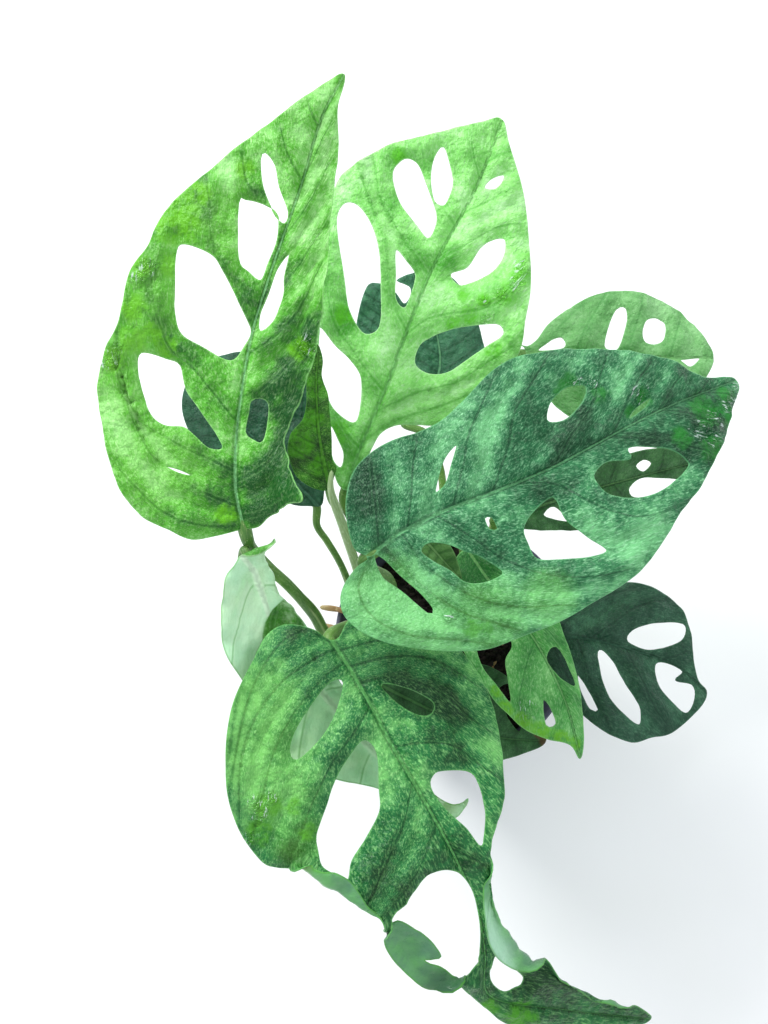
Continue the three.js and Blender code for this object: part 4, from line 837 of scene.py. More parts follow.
def vein_places(leaf, veins, off):
    """For one side of a leaf, where every vein stands at each distance from the midrib."""
    least = 3.0  # between one vein and the next
    places = []
    for vein in veins:
        u, v = np.array(vein, float).T
        w = np.abs(v - rib_at(leaf["rib"], u))
        w[0] = 0
        for k in range(1, len(w)):
            w[k] = max(w[k], w[k - 1] + 1)
        slope = (u[-1] - u[-2]) / (w[-1] - w[-2])
        beyond = np.maximum(off - w[-1], 0) * np.clip(slope, -1, 2)
        places.append(rib_at(np.stack([w, u], axis=1), off) + beyond)
    for k in range(1, len(places)):
        places[k] = np.maximum(places[k], places[k - 1] + least)
    return np.array(places)


def vein_field(leaf, sides, uv):
    """Each point's place between the veins, the veins' spacing there and its offset."""
    off = uv[:, 1] - rib_at(leaf["rib"], uv[:, 0])
    place = np.zeros(len(uv))
    spacing = np.ones(len(uv))
    for side, veins in zip((1, -1), sides):
        mine = np.nonzero(off * side >= 0)[0]
        w = np.abs(off[mine])
        u = uv[mine, 0]
        at = vein_places(leaf, veins, w)
        lean = (vein_places(leaf, veins, w + 1) - at).clip(-3, 3)
        i = np.clip((u > at).sum(axis=0) - 1, 0, len(veins) - 2)
        pick = np.arange(len(mine))
        span = at[i + 1, pick] - at[i, pick]
        place[mine] = i + (u - at[i, pick]) / span
        spacing[mine] = span / np.hypot(1, lean[i, pick])
    return place, spacing, off


def pucker(uv, number):
    """Low waves of several lengths that make a blade uneven."""
    rise = np.zeros(len(uv))
    for length, height in ((26, 0.6), (15, 0.55), (8, 0.32), (4.5, 0.14)):
        for turn in range(3):
            way = 2.1 * turn + number + length
            phase = 2 * pi * (uv @ (cos(way), sin(way))) / length + turn + 3 * number
            rise += height / 2 * np.sin(phase + np.sin(uv[:, turn % 2] / length))
    return rise


def quilt(place, spacing, off, rim):
    """How far the blade rises between its veins and sinks along them."""
    swell_share, widest = 0.16, 16
    furrow_depth, furrow_width = 0.8, 1.2
    groove_depth, groove_width = 0.75, 1.7
    from_vein = np.abs(place - np.round(place)) * spacing
    height = swell_share * np.minimum(spacing, widest)
    swell = height * (1 - (2 * from_vein / spacing) ** 2).clip(0, 1)
    furrow = -furrow_depth * bell(from_vein / furrow_width)
    edge = smooth(rim / 7) * smooth(np.abs(off) / 5)
    among_veins = place > -0.6
    return (swell + furrow) * edge * among_veins - groove_depth * bell(off / groove_width)


# ---------------------------------------------------------------- meshes


def new_object(name, vertices, faces, materials, slots=None):
    mesh = bpy.data.meshes.new(name)
    mesh.from_pydata((np.array(vertices) * MM).tolist(), [], [list(map(int, f)) for f in faces])
    for material in materials:
        mesh.materials.append(material)
    if slots is not None:
        mesh.polygons.foreach_set("material_index", np.array(slots, np.int32))
    mesh.polygons.foreach_set("use_smooth", np.ones(len(faces), bool))
    mesh.update()
    piece = bpy.data.objects.new(name, mesh)
    bpy.context.scene.collection.objects.link(piece)
    return piece


def set_numbers(piece, name, values):
    layer = piece.data.attributes.new(name, "FLOAT", "POINT")
    layer.data.foreach_set("value", np.array(values, np.float32))


def set_vectors(piece, name, values):
    layer = piece.data.attributes.new(name, "FLOAT_VECTOR", "POINT")
    layer.data.foreach_set("vector", np.array(values, np.float32).ravel())


def settle(piece, node):
    """The piece stands for a CAD node: it hangs under the root body, and the node's CAD part is hidden."""
    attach(piece, "root")
    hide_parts(node)


def blade_rows(leaf, sides):
    """Rows of points along a blade's midrib and veins, and along the lines that it rolls up from."""
    farthest, across, fold_rows = 70, (0, -0.9, 0.9, -2, 2), 5
    rib = leaf["rib"]
    us = np.arange(0, rib[-1][0], RIB_STEP)
    rows = [np.stack([us, rib_at(rib, us) + off], axis=1) for off in across]
    ws = np.arange(3, farthest, MARGIN_STEP)
    for side, veins in zip((1, -1), sides):
        for at in vein_places(leaf, veins, ws):
            rows.append(np.stack([at, rib_at(rib, at) + side * ws], axis=1))
    for curl in leaf.get("curls", ()):
        span, bow = curl.get("span"), curl.get("bow", 0)
        if curl["kind"] == "bend" and span:
            e = np.array([cos(radians(curl["along"])), sin(radians(curl["along"]))])
            share = np.arange(0, 1, MARGIN_STEP / span)[:, None]
            line = curl["at"] + share * span * e
            for d in np.arange(0, fold_rows) * curl["radius"] * 0.75:
                rows.append(line + (d + 4 * bow * share * (1 - share)) * (-e[1], e[0]))
    return rows


def patch_field(patches, uv):
    """1 in the middle of a patch and 0 away from all of them."""
    field = np.zeros(len(uv))
    for u, v, reach in patches:
        distance = np.hypot(uv[:, 0] - u, uv[:, 1] - v)
        field = np.maximum(field, smooth(1.5 - distance / reach))
    return field


def tone_and_shading_field(tones_and_shading, uv):
    """How much paler or deeper than its mean the blade is at each point, painted light and shade included.
    """
    field = np.zeros(len(uv))
    for u, v, reach, amount in tones_and_shading:
        field += amount * np.exp(-(((uv[:, 0] - u) ** 2 + (uv[:, 1] - v) ** 2) / reach**2))
    return field.clip(-1.3, 1.1)


def sheet(middle, triangles, edges, ridge):
    """A closed sheet around a middle surface, ridged below, with a rounded rim."""
    normals = point_normals(middle, triangles)
    top = middle + normals * HALF_BLADE
    bottom = middle - normals * (HALF_BLADE + ridge)[:, None]
    outward = np.zeros_like(middle)
    heading = unit(middle[edges[:, 1]] - middle[edges[:, 0]])
    for end in (0, 1):
        np.add.at(outward, edges[:, end], np.cross(heading, normals[edges[:, end]]))
    on_rim = np.unique(edges)
    ring = middle[on_rim] + unit(outward[on_rim]) * HALF_BLADE
    count = len(middle)
    ring_at = {corner: 2 * count + i for i, corner in enumerate(on_rim)}
    faces = [tuple(t) for t in triangles] + [tuple(t[::-1] + count) for t in triangles]
    slots = [0] * len(triangles) + [1] * len(triangles)
    for a, b in edges:
        faces.append((b, a, ring_at[a], ring_at[b]))
        faces.append((ring_at[b], ring_at[a], a + count, b + count))
        slots += [0, 1]
    origin = np.concatenate([np.arange(count), np.arange(count), on_rim])
    return np.concatenate([top, bottom, ring]), faces, slots, origin


def make_blade(name, leaf, number):
    """A leaf's blade, with the numbers that its materials read at every point."""
    loops = [smooth_loop(loop, MARGIN_STEP) for loop in (leaf["outline"], *leaf.get("holes", ()))]
    sides = VEINS.get(name) or young_veins(leaf)
    uv, triangles = fill(loops, blade_rows(leaf, sides), BLADE_STEP)
    edges = rim_edges(triangles)
    rim_tree = tree_of(uv[edges[:, 0]])
    rim = np.array([rim_tree.find((u, v, 0))[2] for u, v in uv])
    place, spacing, off = vein_field(leaf, sides, uv)
    lift = quilt(place, spacing, off, rim) + pucker(uv, number) * smooth(np.abs(off) / 4)
    middle = leaf_points(leaf, uv, lift)

    rib_height, rib_width = 1.1, 1.3
    vein_height, vein_width = 0.35, 0.8
    along = np.clip(uv[:, 0] / leaf["rib"][-1][0], 0, 1)
    from_vein = np.abs(place - np.round(place)) * spacing
    ridge = rib_height * (1 - 0.8 * along) * bell(off / rib_width)
    ridge += vein_height * (1 - along) * bell(from_vein / vein_width) * smooth(rim / 8)
    ridge *= smooth(rim / 3)
    vertices, faces, slots, origin = sheet(middle, triangles, edges, ridge)
    look = dict(zip(LOOK_KEYS, LOOKS[name]))
    materials = (leaf_face(name, look), leaf_back(name, look))
    piece = new_object("fine_" + name, vertices, faces, materials, slots)

    numbers = {"vein": place, "spacing": spacing, "offset": off, "rim": rim, "along": along}
    for key, patches in (("wet", WET), ("dry", DRY), ("warm", WARM), ("lush", LUSH)):
        numbers[key] = patch_field(patches.get(name, ()), uv)
    numbers["tone_and_shading"] = tone_and_shading_field(TONES_AND_SHADING.get(name, ()), uv)
    for key, values in numbers.items():
        set_numbers(piece, key, values[origin])
    seed = np.full(len(uv), 40.0 * number)
    grain = np.stack([place * 13, np.abs(off) * 0.45, seed + 20 * (off > 0)], axis=1)
    set_vectors(piece, "flat", np.stack([uv[:, 0], uv[:, 1], seed], axis=1)[origin])
    set_vectors(piece, "grain", grain[origin])
    settle(piece, name)


# ---------------------------------------------------------------- materials


def rgb(colour):
    """A '#rrggbb' colour in linear light."""
    parts = [int(colour[i : i + 2], 16) / 255 for i in (1, 3, 5)]
    return tuple(p / 12.92 if p <= 0.04045 else ((p + 0.055) / 1.055) ** 2.4 for p in parts)


class Nodes:
    """A material's nodes, made one call at a time. colour is what tint lays its colours over."""

    def __init__(self, name):
        self.material = bpy.data.materials.new(name)
        self.material.use_nodes = True
        self.tree = self.material.node_tree
        self.shader = self.tree.nodes["Principled BSDF"]
        self.colour = None

    def put(self, socket, value):
        if isinstance(value, bpy.types.NodeSocket):
            self.tree.links.new(value, socket)
        elif isinstance(value, str):
            socket.default_value = (*rgb(value), 1)
        else:
            socket.default_value = value

    def add(self, kind, *values, **settings):
        node = self.tree.nodes.new("ShaderNode" + kind)
        for key, value in settings.items():
            setattr(node, key, value)
        for i, value in enumerate(values):
            if value is not None:
                self.put(node.inputs[i], value)
        return node

    def math(self, operation, a, b=None):
        return self.add("Math", a, b, operation=operation).outputs[0]

    def total(self, first, *others):
        for other in others:
            first = self.math("ADD", first, other)
        return first

    def product(self, first, *others):
        for other in others:
            first = self.math("MULTIPLY", first, other)
        return first

    def number(self, name):
        return self.add("Attribute", attribute_name=name).outputs["Fac"]

    def vector(self, name):
        return self.add("Attribute", attribute_name=name).outputs["Vector"]

    def place(self):
        return self.add("TexCoord").outputs["Object"]

    def noise(self, vector, scale, detail=2.0, rough=0.5):
        node = self.add("TexNoise", vector)
        node.inputs["Scale"].default_value = scale
        node.inputs["Detail"].default_value = detail
        node.inputs["Roughness"].default_value = rough
        return node.outputs["Fac"]

    def step(self, value, low, high, to_low=0.0, to_high=1.0):
        """From to_low at low to to_high at high, smoothly."""
        node = self.add("MapRange", value, low, high, to_low, to_high)
        node.interpolation_type = "SMOOTHSTEP"
        return node.outputs[0]

    def band(self, value, middle, low, high, most):
        """most where the value is near the middle, falling to 0 from low to high away from it."""
        return self.step(self.math("ABSOLUTE", self.math("SUBTRACT", value, middle)), low, high, most, 0)

    def blend(self, amount, a, b):
        """Starts the colour off between a and b."""
        node = self.add("Mix", data_type="RGBA")
        for socket, value in ((0, amount), (6, a), (7, b)):
            self.put(node.inputs[socket], value)
        self.colour = node.outputs[2]

    def tint(self, amount, over):
        """Lays a colour over what is there."""
        self.blend(amount, self.colour, over)

    def finish(self, roughness, height=None, depth=0, **constants):
        """Ends the material, with relief of a depth in millimetres if it has a height."""
        self.put(self.shader.inputs["Base Color"], self.colour)
        self.put(self.shader.inputs["Roughness"], roughness)
        if height:
            bump = self.add("Bump")
            bump.inputs["Distance"].default_value = depth * MM
            self.put(bump.inputs["Height"], height)
            self.put(self.shader.inputs["Normal"], bump.outputs["Normal"])
        for key, value in constants.items():
            self.shader.inputs[key.replace("_", " ")].default_value = value
        return self.material


def vein_distance(net):
    """The distance in millimetres to the nearest secondary vein."""
    return net.product(net.math("PINGPONG", net.number("vein"), 0.5), net.number("spacing"))


def leaf_face(name, look):
    net = Nodes(name + "_face")
    flat, grain = net.vector("flat"), net.vector("grain")
    along, rim, wet, warm = (net.number(key) for key in ("along", "rim", "wet", "warm"))
    away = vein_distance(net)

    # Clouds and blotches vary it from deep to pale at random. The placed tone patches add its own paler
    # and deeper areas together with painted shade and painted sheen. The pillow term paints shade in the
    # furrows along the veins and light on the pillows between them.
    broad = net.step(net.noise(flat, 0.06, 3, 0.6), 0.3, 0.7, -0.25, 0.25)
    blotch = net.step(net.noise(flat, 0.22, 4, 0.65), 0.25, 0.75, -0.35, 0.35)
    painted_pillow_shading = net.step(net.math("DIVIDE", away, net.number("spacing")), 0, 0.42, -0.36, 0.18)
    tone_and_shading = net.total(broad, blotch, net.number("tone_and_shading"), painted_pillow_shading)
    net.blend(net.step(tone_and_shading, -1.2, 0.2), look["deep"], look["mid"])
    net.tint(net.step(tone_and_shading, -0.15, 1), look["pale"])
    patch = net.number("lush")
    lush = net.product(net.step(net.total(patch, net.product(blotch, 1.1)), 0.45, 1.2, 0, 0.85), patch)
    net.tint(lush, look["lush"])

    # Speckles lie along the veins, thick where it is pale and not on lush patches.
    streaks = net.noise(grain, 1.2, 3, 0.7)
    specks = net.noise(grain, 2.6, 2, 0.6)
    flecks = net.total(net.step(streaks, 0.53, 0.63), net.step(specks, 0.53, 0.61))
    thick = net.step(tone_and_shading, -0.9, 0.6, 0.35, 1)
    bare = net.math("SUBTRACT", 1.0, lush)
    flecks = net.product(flecks, thick, bare, 0.62 * look["flecks"])
    net.tint(net.math("MINIMUM", flecks, 0.8), look["fleck"])

    # Side veins are dark lines with pale flanks, and the midrib is pale between dark grooves.
    inner = net.step(rim, 0.5, 5)
    net.tint(net.product(net.step(away, 0.1, 0.8, 0.45, 0), inner), look["deep"])
    net.tint(net.product(net.band(away, 1.0, 0.1, 0.6, 0.1), inner), look["pale"])
    width = net.product(net.math("ABSOLUTE", net.number("offset")), net.step(along, 0, 1, 0.75, 2))
    net.tint(net.band(width, 1.05, 0.1, 0.6, 0.4), look["deep"])
    net.tint(net.product(net.step(width, 0.35, 0.8, 0.85, 0), net.step(along, 0.5, 1, 1, 0.4)), look["rib"])
    # A thin ragged pale margin: partly the margin's own paler green, partly a painted rim highlight.
    ragged = net.math("SUBTRACT", rim, net.product(blotch, 0.5))
    net.tint(net.step(ragged, 0, 0.45, 0.45, 0), look["pale"])

    sunny = net.step(net.total(warm, net.product(blotch, 0.5)), 0, 1.3, 0, 0.32)
    net.tint(net.product(sunny, net.step(warm, 0, 0.3)), "#74c044")
    net.tint(net.step(net.number("dry"), 0.2, 0.8, 0, 0.9), "#5c4326")
    # Painted glints: thin near-white streaks over the wet patches stand in for highlights on the water.
    painted_glints = net.step(net.noise(grain, 0.7, 3, 0.6), 0.58, 0.65, 0, 0.65)
    net.tint(net.product(painted_glints, net.step(wet, 0.3, 0.7)), "#e6f8f0")

    roughness = net.step(net.noise(flat, 0.3, 3), 0.3, 0.7, 0.3, 0.44)
    roughness = net.product(roughness, net.step(wet, 0.2, 0.8, 1, 0.2))
    skin = net.total(net.product(streaks, 0.5), net.noise(grain, 1.4, 3, 0.7))
    dimples = net.product(net.noise(flat, 0.45, 2), 2.5)
    drops = net.product(net.noise(flat, 0.8, 2), wet, 5)
    return net.finish(roughness, net.total(skin, dimples, drops), 0.5, Specular_IOR_Level=0.3)


def leaf_back(name, look):
    net = Nodes(name + "_back")
    flat, grain = net.vector("flat"), net.vector("grain")
    tone_and_shading, rim = net.number("tone_and_shading"), net.number("rim")
    offset = net.math("ABSOLUTE", net.number("offset"))
    away = vein_distance(net)
    net.blend(net.step(net.noise(flat, 0.07, 3, 0.6), 0.3, 0.7, 0, 0.7), look["back"], look["pale"])
    # Painted light where the tone patches are high, on lit strips of the back, and painted shade where they
    # are low, in its hollows.
    net.tint(net.step(tone_and_shading, 0.2, 1, 0, 0.8), "#b6e6c4")
    net.tint(net.step(tone_and_shading, -0.9, -0.1, 0.6, 0), look["deep"])
    net.tint(net.step(net.number("warm"), 0, 0.8, 0, 0.6), "#6f9a3c")
    net.tint(net.step(net.noise(grain, 0.9, 3, 0.7), 0.4, 0.65, 0, 0.1), look["mid"])
    net.tint(net.band(away, 0.9, 0.1, 0.7, 0.3), look["rib"])
    net.tint(net.product(net.step(away, 0.15, 0.6, 0.45, 0), net.step(offset, 0.8, 2.5)), look["mid"])
    net.tint(net.step(offset, 0.6, 1.5, 0.8, 0), look["rib"])
    net.tint(net.step(rim, 0, 0.5, 0.5, 0), look["lush"])
    roughness = net.step(net.noise(flat, 0.3, 3), 0.3, 0.7, 0.24, 0.4)
    height = net.total(net.noise(grain, 1.3, 3, 0.7), net.noise(flat, 0.4, 2))
    return net.finish(roughness, height, 0.3, Specular_IOR_Level=0.35)


def stalk_material():
    net = Nodes("stalk")
    place = net.place()
    streaks = net.noise(net.vector("grain"), 1.0, 3, 0.6)
    net.blend(net.step(net.noise(place, 60, 3, 0.6), 0.35, 0.65), "#4a7a32", "#6d9a45")
    net.tint(net.step(streaks, 0.45, 0.7, 0, 0.5), "#95b268")
    net.tint(net.step(net.noise(place, 900, 2), 0.62, 0.7, 0, 0.5), "#b4c88c")
    net.tint(net.step(net.number("edge"), 0.2, 0.8, 0, 0.7), "#c3cf98")
    return net.finish(0.42, streaks, 0.25, IOR=1.45)


def stem_material():
    net = Nodes("stem")
    streaks = net.noise(net.vector("grain"), 0.8, 4, 0.7)
    net.blend(net.step(net.noise(net.place(), 90, 4, 0.6), 0.4, 0.6), "#4f6b2e", "#7d8a4a")
    net.tint(net.step(streaks, 0.5, 0.7, 0, 0.6), "#8b7747")
    net.tint(net.step(net.number("edge"), 0.2, 0.8, 0, 0.8), "#a08a5c")
    return net.finish(0.6, streaks, 0.4, IOR=1.45)


def root_material():
    net = Nodes("root")
    streaks = net.noise(net.vector("grain"), 1.2, 4, 0.7)
    net.blend(net.step(streaks, 0.35, 0.65), "#8d6a43", "#c29c6c")
    net.tint(net.step(net.noise(net.place(), 700, 3), 0.58, 0.68, 0, 0.6), "#e0c79c")
    net.tint(net.step(net.number("along"), 0.8, 1.0, 0, 0.7), "#cdb98a")
    return net.finish(0.75, streaks, 0.35, IOR=1.45)


def spear_material():
    net = Nodes("spear")
    streaks = net.noise(net.vector("grain"), 0.9, 3, 0.6)
    net.blend(net.step(streaks, 0.35, 0.65), "#93b174", "#b4cc98")
    net.tint(net.step(net.noise(net.place(), 500, 2), 0.6, 0.7, 0, 0.5), "#c9dbb2")
    net.tint(net.step(net.number("edge"), 0.2, 0.8, 0, 0.8), "#6f9a4f")
    return net.finish(0.42, streaks, 0.2, IOR=1.45)


def pot_material():
    net = Nodes("pot")
    place = net.place()
    net.blend(net.step(net.noise(place, 25, 4, 0.6), 0.35, 0.65), "#4d4e63", "#5c5d74")
    net.tint(net.step(net.noise(place, 160, 5, 0.7), 0.56, 0.72, 0, 0.5), "#7d7d8f")
    net.tint(net.step(net.noise(place, 1400, 2), 0.68, 0.74, 0, 0.6), "#9a9488")
    roughness = net.step(net.noise(place, 70, 4, 0.6), 0.3, 0.7, 0.4, 0.6)
    return net.finish(roughness, net.noise(place, 900, 3, 0.6), 0.06, IOR=1.46)


def soil_material():
    net = Nodes("soil")
    place = net.place()
    net.blend(net.step(net.noise(place, 300, 5, 0.7), 0.35, 0.65), "#120f0d", "#2c241d")
    net.tint(net.step(net.noise(place, 1200, 3, 0.7), 0.6, 0.7, 0, 0.6), "#5a4734")
    return net.finish(0.92, net.noise(place, 1500, 4, 0.7), 0.5)


def chip_material():
    net = Nodes("chip")
    place = net.place()
    net.blend(net.step(net.noise(place, 400, 4, 0.7), 0.35, 0.65), "#8a6d47", "#c3a574")
    return net.finish(0.85, net.noise(place, 1200, 3), 0.3)


def floor_material():
    net = Nodes("floor")
    net.blend(net.step(net.noise(net.place(), 6, 3), 0.3, 0.7), "#fcfcfa", "#ffffff")
    return net.finish(0.9)


# ---------------------------------------------------------------- stalks, stems and roots


def curve_points(path, step):
    """Points about step apart on a centripetal curve through the path."""
    p = np.array(path, float)
    p = np.concatenate([[2 * p[0] - p[1]], p, [2 * p[-1] - p[-2]]])
    found = []
    for a, b, c, d in zip(p, p[1:], p[2:], p[3:]):
        before, here, after = (np.linalg.norm(q) ** 0.5 for q in (b - a, c - b, d - c))
        leave = here * ((b - a) / before - (c - a) / (before + here)) + (c - b)
        arrive = here * ((d - c) / after - (d - b) / (here + after)) + (c - b)
        count = max(2, round(np.linalg.norm(c - b) / step))
        for t in np.arange(count) / count:
            cubic = (2 * b - 2 * c + leave + arrive) * t + (3 * c - 3 * b - 2 * leave - arrive)
            found.append(b + t * (leave + t * cubic))
    return np.array([*found, p[-2]])


def length_of(path):
    return np.linalg.norm(np.diff(np.array(path, float), axis=0), axis=1).sum()


def stem_seat(rod):
    """Where a rod leaves its stem, and the way it goes."""
    stem = curve_points(STEMS[rod["stem"]], 0.5)
    root = stem[np.abs(stem[:, 2] - rod["height"]).argmin()]
    way = unit(np.array(rod["via"][0], float) - root)
    out = unit(way * (1, 1, 0))
    return root + out * (STEM_RADIUS + GAP + rod["radius"] * abs(way[2])), out


def make_rod(name, path, facing, section, material, sides):
    """A closed rod along a path. section(angles, share) gives its radii and its edge marks."""
    centre = curve_points(path, ROD_STEP)
    heading = unit(np.gradient(centre, axis=0))
    travel = np.concatenate([[0], np.cumsum(np.linalg.norm(np.diff(centre, axis=0), axis=1))])
    share = travel / travel[-1]
    angles = 2 * pi * np.arange(sides) / sides
    east, north = np.cos(angles), np.sin(angles)
    up = unit(facing - heading[0] * np.dot(facing, heading[0]))
    vertices, marks, grain = [], [], []
    for p, e, s, run in zip(centre, heading, share, travel):
        up = unit(up - e * np.dot(up, e))
        radius, mark = section(angles, s)
        vertices.append(p + radius[:, None] * (east[:, None] * up + north[:, None] * np.cross(e, up)))
        marks.append(mark)
        grain.append(np.stack([6 * east, 6 * north, run * 0.25 + 0 * angles], 1))
    rings = len(vertices)
    tips = [centre[0] - 0.2 * heading[0]], [centre[-1] + 0.2 * heading[-1]]
    faces = []
    for j in range(rings - 1):
        for i in range(sides):
            k = (i + 1) % sides
            faces.append((j * sides + i, j * sides + k, (j + 1) * sides + k, (j + 1) * sides + i))
    last = (rings - 1) * sides
    for i in range(sides):
        k = (i + 1) % sides
        faces.append((k, i, rings * sides))
        faces.append((last + i, last + k, rings * sides + 1))
    piece = new_object(name, np.concatenate([*vertices, *tips]), faces, [material])
    set_numbers(piece, "edge", np.concatenate([*marks, [0, 0]]))
    set_numbers(piece, "along", np.concatenate([np.repeat(share, sides), [0, 1]]))
    set_vectors(piece, "grain", np.concatenate([*grain, np.zeros((2, 3))]))
    return piece


def round_ends(share, length, radius):
    """A rod's radius shrinks like a ball's over its last millimetres."""
    close = np.clip(min(share, 1 - share) / (radius / length), 0, 1)
    return (1 - (1 - close) ** 2) ** 0.5


def angle_from(angles, centre):
    return np.abs((angles - centre + pi) % (2 * pi) - pi)


def make_stalk(name, leaf, stalk, material):
    """A leaf's stalk: it is sheathed and channelled below, and swollen where it meets the blade."""
    radius = stalk["radius"]
    face = stalk.get("face", -1)
    us = np.array([0.0, stalk.get("overlap", 5)])
    uv = np.stack([us, rib_at(leaf["rib"], us)], axis=1)
    nudge = 0.4
    du = leaf_points(leaf, uv + (nudge, 0)) - leaf_points(leaf, uv - (nudge, 0))
    dv = leaf_points(leaf, uv + (0, nudge)) - leaf_points(leaf, uv - (0, nudge))
    normal = unit(np.cross(du, dv))
    seat, end = leaf_points(leaf, uv) + normal * face * (0.4 + GAP + radius * 0.85)
    approach = 2 * seat - end + normal[0] * face * 4 * GAP
    start, out = stem_seat(stalk)
    path = [start, *stalk["via"], approach, end]
    length = length_of(path)
    sheath_end, foot_end, wing_angle = 0.55, 0.12, 0.75

    def section(angles, share):
        sheath = smooth((sheath_end - share) / 0.12)
        channel = 1 - (0.1 + 0.22 * sheath) * bell(angle_from(angles, 0) / 0.4)
        wing = sum(bell(angle_from(angles, side * wing_angle) / 0.2) for side in (1, -1))
        swollen = 0.22 * bell(((1 - share) * length - 7) / 5.5)
        foot = 0.18 * smooth((foot_end - share) / 0.12)
        shape = channel + 0.35 * sheath * wing + swollen + foot
        return radius * 0.95 * shape * round_ends(share, length, radius), 0.9 * wing * sheath

    settle(make_rod("fine_" + name, path, -out, section, material, 28), name)


def make_stem(name, material):
    path = STEMS[name]
    length = path[-1][2] - path[0][2]
    nodes = np.arange(0.15, 1, 0.17)

    def section(angles, share):
        ring = bell(np.abs(share - nodes).min() * length / 1.6)
        lumps = 0.03 * np.sin(3 * angles + 9 * share) + 0.02 * np.sin(5 * angles - 14 * share)
        shape = (0.95 + 0.05 * ring + lumps) * round_ends(share, length, STEM_RADIUS)
        return STEM_RADIUS * shape, ring * np.ones_like(angles)

    front = np.array([0.0, -1, 0])
    settle(make_rod("fine_" + name, path, front, section, material, 36), name)


def make_root(name, root, material):
    path = [stem_seat(root)[0], *root["via"]]
    length = length_of(path)

    def section(angles, share):
        lumps = 0.06 * np.sin(2 * angles + 21 * share) + 0.05 * np.sin(31 * share)
        taper = 1 - 0.18 * share
        return root["radius"] * (taper + lumps) * round_ends(share, length, 2), 0 * angles

    settle(make_rod("fine_" + name, path, UP, section, material, 24), name)


def make_spear(material):
    """The youngest leaf, rolled up around itself."""
    start, out = stem_seat(SPEAR)
    path = [start, *SPEAR["via"]]
    places = np.linspace(0, 1, len(SPEAR["radii"]))
    length = length_of(path)
    lap_height = 0.22

    def section(angles, share):
        radius = np.interp(share, places, SPEAR["radii"]) * smooth((1.02 - share) / 0.04)
        lap = ((angles - 4.5 * share) % (2 * pi)) / (2 * pi)
        rolled = smooth((share - 0.3) / 0.15)
        shape = 1 + rolled * lap_height * (lap - 0.6)
        return radius * shape * round_ends(share, length, 1.2), rolled * bell((1 - lap) / 0.06)

    settle(make_rod("fine_leaf_rolled", path, -out, section, material, 48), "leaf_rolled")


# ---------------------------------------------------------------- pot and soil


def circle(radius, sides, x=0.0, y=0.0):
    angles = 2 * pi * np.arange(sides) / sides
    return np.stack([x + radius * np.cos(angles), y + radius * np.sin(angles)], axis=1)


def make_pot(material):
    rings = [np.column_stack([circle(r, POT_SIDES), np.full(POT_SIDES, z)]) for r, z in POT_PROFILE]
    vertices = [*np.concatenate(rings)]
    faces = []
    for j in range(len(rings) - 1):
        low, high = j * POT_SIDES, (j + 1) * POT_SIDES
        for i in range(POT_SIDES):
            k = (i + 1) % POT_SIDES
            faces.append((low + i, low + k, high + k, high + i))
    holes = []
    for angle in 2 * pi * np.arange(DRAIN["count"]) / DRAIN["count"]:
        x, y = DRAIN["circle"] * cos(angle), DRAIN["circle"] * sin(angle)
        holes.append(circle(DRAIN["radius"], DRAIN["sides"], x, y))
    for (radius, z), way in ((POT_PROFILE[0], -1), (POT_PROFILE[-1], 1)):
        plate, triangles = fill([circle(radius, POT_SIDES), *holes], [], PLATE_STEP)
        faces += [tuple(t[::way] + len(vertices)) for t in triangles]
        vertices += [(x, y, z) for x, y in plate]
    for hole in holes:
        start, sides = len(vertices), len(hole)
        vertices += [(x, y, z) for z in (0.0, POT_FLOOR) for x, y in hole]
        for i in range(sides):
            k = (i + 1) % sides
            faces.append((start + k, start + i, start + sides + i, start + sides + k))
    piece = new_object("fine_pot", vertices, faces, [material])
    weld(piece)
    settle(piece, "pot")


def weld(piece):
    """Joins points that lie on one another."""
    shape = bmesh.new()
    shape.from_mesh(piece.data)
    bmesh.ops.remove_doubles(shape, verts=shape.verts, dist=1e-6)
    shape.to_mesh(piece.data)
    shape.free()


def inner_radius(z):
    """The pot's radius inside at a height."""
    (high_radius, high), (low_radius, low) = POT_PROFILE[11:13]
    return np.interp(z, (low, high), (low_radius, high_radius))


def soil_height(x, y, rim):
    share = np.hypot(x, y) / rim
    dome = SOIL["edge"] + (SOIL["crown"] - SOIL["edge"]) * (1 - share**2)
    lumps = SOIL["lump"] * np.sin(x * 0.31 + 1) * np.sin(y * 0.37 + 2)
    return dome + lumps * smooth((1 - share) / 0.15)


def soil_body(rim):
    """The soil's rough top, its side and its flat base."""
    roughness, sides = 0.45, SOIL_SIDES
    vertices = [(0, 0, soil_height(0.0, 0.0, rim))]
    for j in range(1, SOIL_RINGS + 1):
        for x, y in circle(rim * j / SOIL_RINGS, sides):
            rough = random.normal(0, roughness) * (j < SOIL_RINGS)
            vertices.append((x, y, soil_height(x, y, rim) + rough))
    bands = [(inner_radius(z) - SOIL["clear"], z) for z in SOIL_BANDS]
    for radius, z in (*bands, (SOIL["foot"], SOIL["floor"])):
        vertices += [(x, y, z) for x, y in circle(radius, sides)]
    vertices.append((0, 0, SOIL["floor"]))
    rings = SOIL_RINGS + len(bands)
    faces = []
    for i in range(sides):
        k = (i + 1) % sides
        faces.append((0, 1 + i, 1 + k))
        for j in range(rings):
            low, high = 1 + j * sides, 1 + (j + 1) * sides
            faces.append((low + i, high + i, high + k, low + k))
        last = 1 + rings * sides
        faces.append((last + i, len(vertices) - 1, last + k))
    return vertices, faces


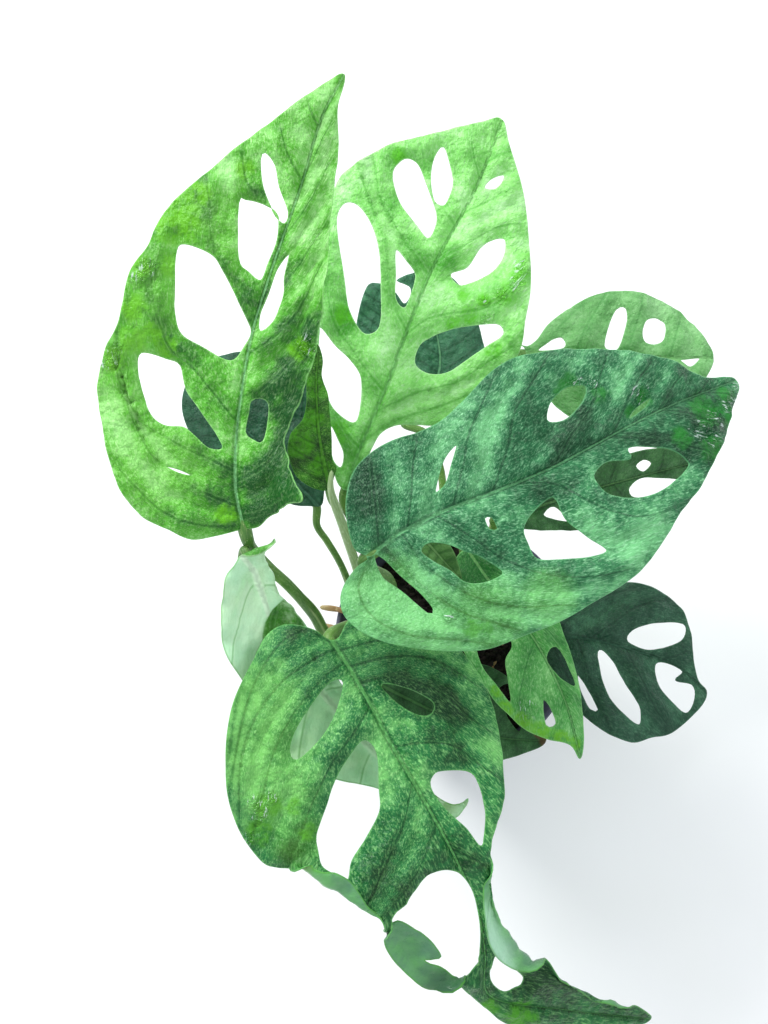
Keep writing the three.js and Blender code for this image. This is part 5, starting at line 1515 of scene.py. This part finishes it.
def crumb(ball, pale):
    """A lumpy grain, flatter and larger where it is a pale chip, and how large it is."""
    size = random.uniform(1.2, 2.6) if pale else random.gamma(3, 0.35) + 0.3
    stretch = (
        random.uniform(1, 1.8), random.uniform(0.6, 1), random.uniform(0.25, 0.5) if pale else 0.7,
    )
    grain = ball * random.uniform(0.75, 1.2, (len(ball), 1)) * stretch * size
    turn = random.uniform(0, 2 * pi)
    tilt = random.uniform(-0.5, 0.5)
    grain = grain @ np.array([[cos(turn), sin(turn), 0], [-sin(turn), cos(turn), 0], [0, 0, 1]])
    return grain @ np.array([[1, 0, 0], [0, cos(tilt), sin(tilt)], [0, -sin(tilt), cos(tilt)]]), size


def make_soil(soil, chip):
    rim = inner_radius(SOIL["edge"]) - SOIL["clear"]
    vertices, faces = soil_body(rim)
    slots = [0] * len(faces)
    shape = bmesh.new()
    bmesh.ops.create_icosphere(shape, subdivisions=1, radius=1)
    ball = np.array([v.co for v in shape.verts])
    ball_faces = np.array([[v.index for v in f.verts] for f in shape.faces])
    shape.free()
    for number in range(CRUMBS + CHIPS):
        pale = number >= CRUMBS
        distance, angle = (rim - 3) * random.random() ** 0.5, 2 * pi * random.random()
        x, y = distance * cos(angle), distance * sin(angle)
        if min(np.hypot(x - s[0][0], y - s[0][1]) for s in STEMS.values()) < STEM_RADIUS + 2:
            continue
        grain, size = crumb(ball, pale)
        grain += (x, y, soil_height(x, y, rim) + 0.35 * size)
        faces += [tuple(f + len(vertices)) for f in ball_faces]
        vertices += [tuple(v) for v in grain]
        slots += [int(pale)] * len(ball_faces)
    settle(new_object("fine_soil", vertices, faces, [soil, chip], slots), "soil")


# ---------------------------------------------------------------- the scene

scene = bpy.context.scene
camera = bpy.data.objects.new("camera", bpy.data.cameras.new("camera"))
scene.collection.objects.link(camera)
camera.data.sensor_width = SENSOR
camera.data.sensor_fit = "AUTO"
camera.data.lens = FOCUS / PICTURE_HEIGHT * SENSOR
camera.data.clip_start = NEAREST
camera.location = np.array(EYE) * MM
camera.rotation_euler = (radians(TILT), 0, 0)
bpy.context.scene.camera = camera
scene.view_settings.view_transform = "Standard"

for number, (name, leaf) in enumerate(LEAVES.items()):
    make_blade(name, leaf, number + 1)
stalk_look = stalk_material()
for name, leaf in LEAVES.items():
    make_stalk(name.replace("leaf", "stalk"), leaf, STALKS[name], stalk_look)
stem_look = stem_material()
for name in STEMS:
    make_stem(name, stem_look)
root_look = root_material()
for name, root in ROOTS.items():
    make_root(name, root, root_look)
make_spear(spear_material())
make_pot(pot_material())
make_soil(soil_material(), chip_material())

bpy.ops.mesh.primitive_plane_add(size=FLOOR_SIZE)
floor = bpy.context.object
floor.name = "floor"
floor.data.materials.append(floor_material())

scene.world = bpy.data.worlds.new("world")
scene.world.use_nodes = True
sky = scene.world.node_tree.nodes["Background"]
sky.inputs["Color"].default_value = SKY_COLOUR
sky.inputs["Strength"].default_value = SKY_STRENGTH
for name, place, size, power in LIGHTS:
    lamp = bpy.data.lights.new(name, "AREA")
    lamp.size = size
    lamp.energy = power
    light = bpy.data.objects.new(name, lamp)
    light.location = place
    light.rotation_euler = (Vector(LIT) - light.location).to_track_quat("-Z", "Y").to_euler()
    scene.collection.objects.link(light)
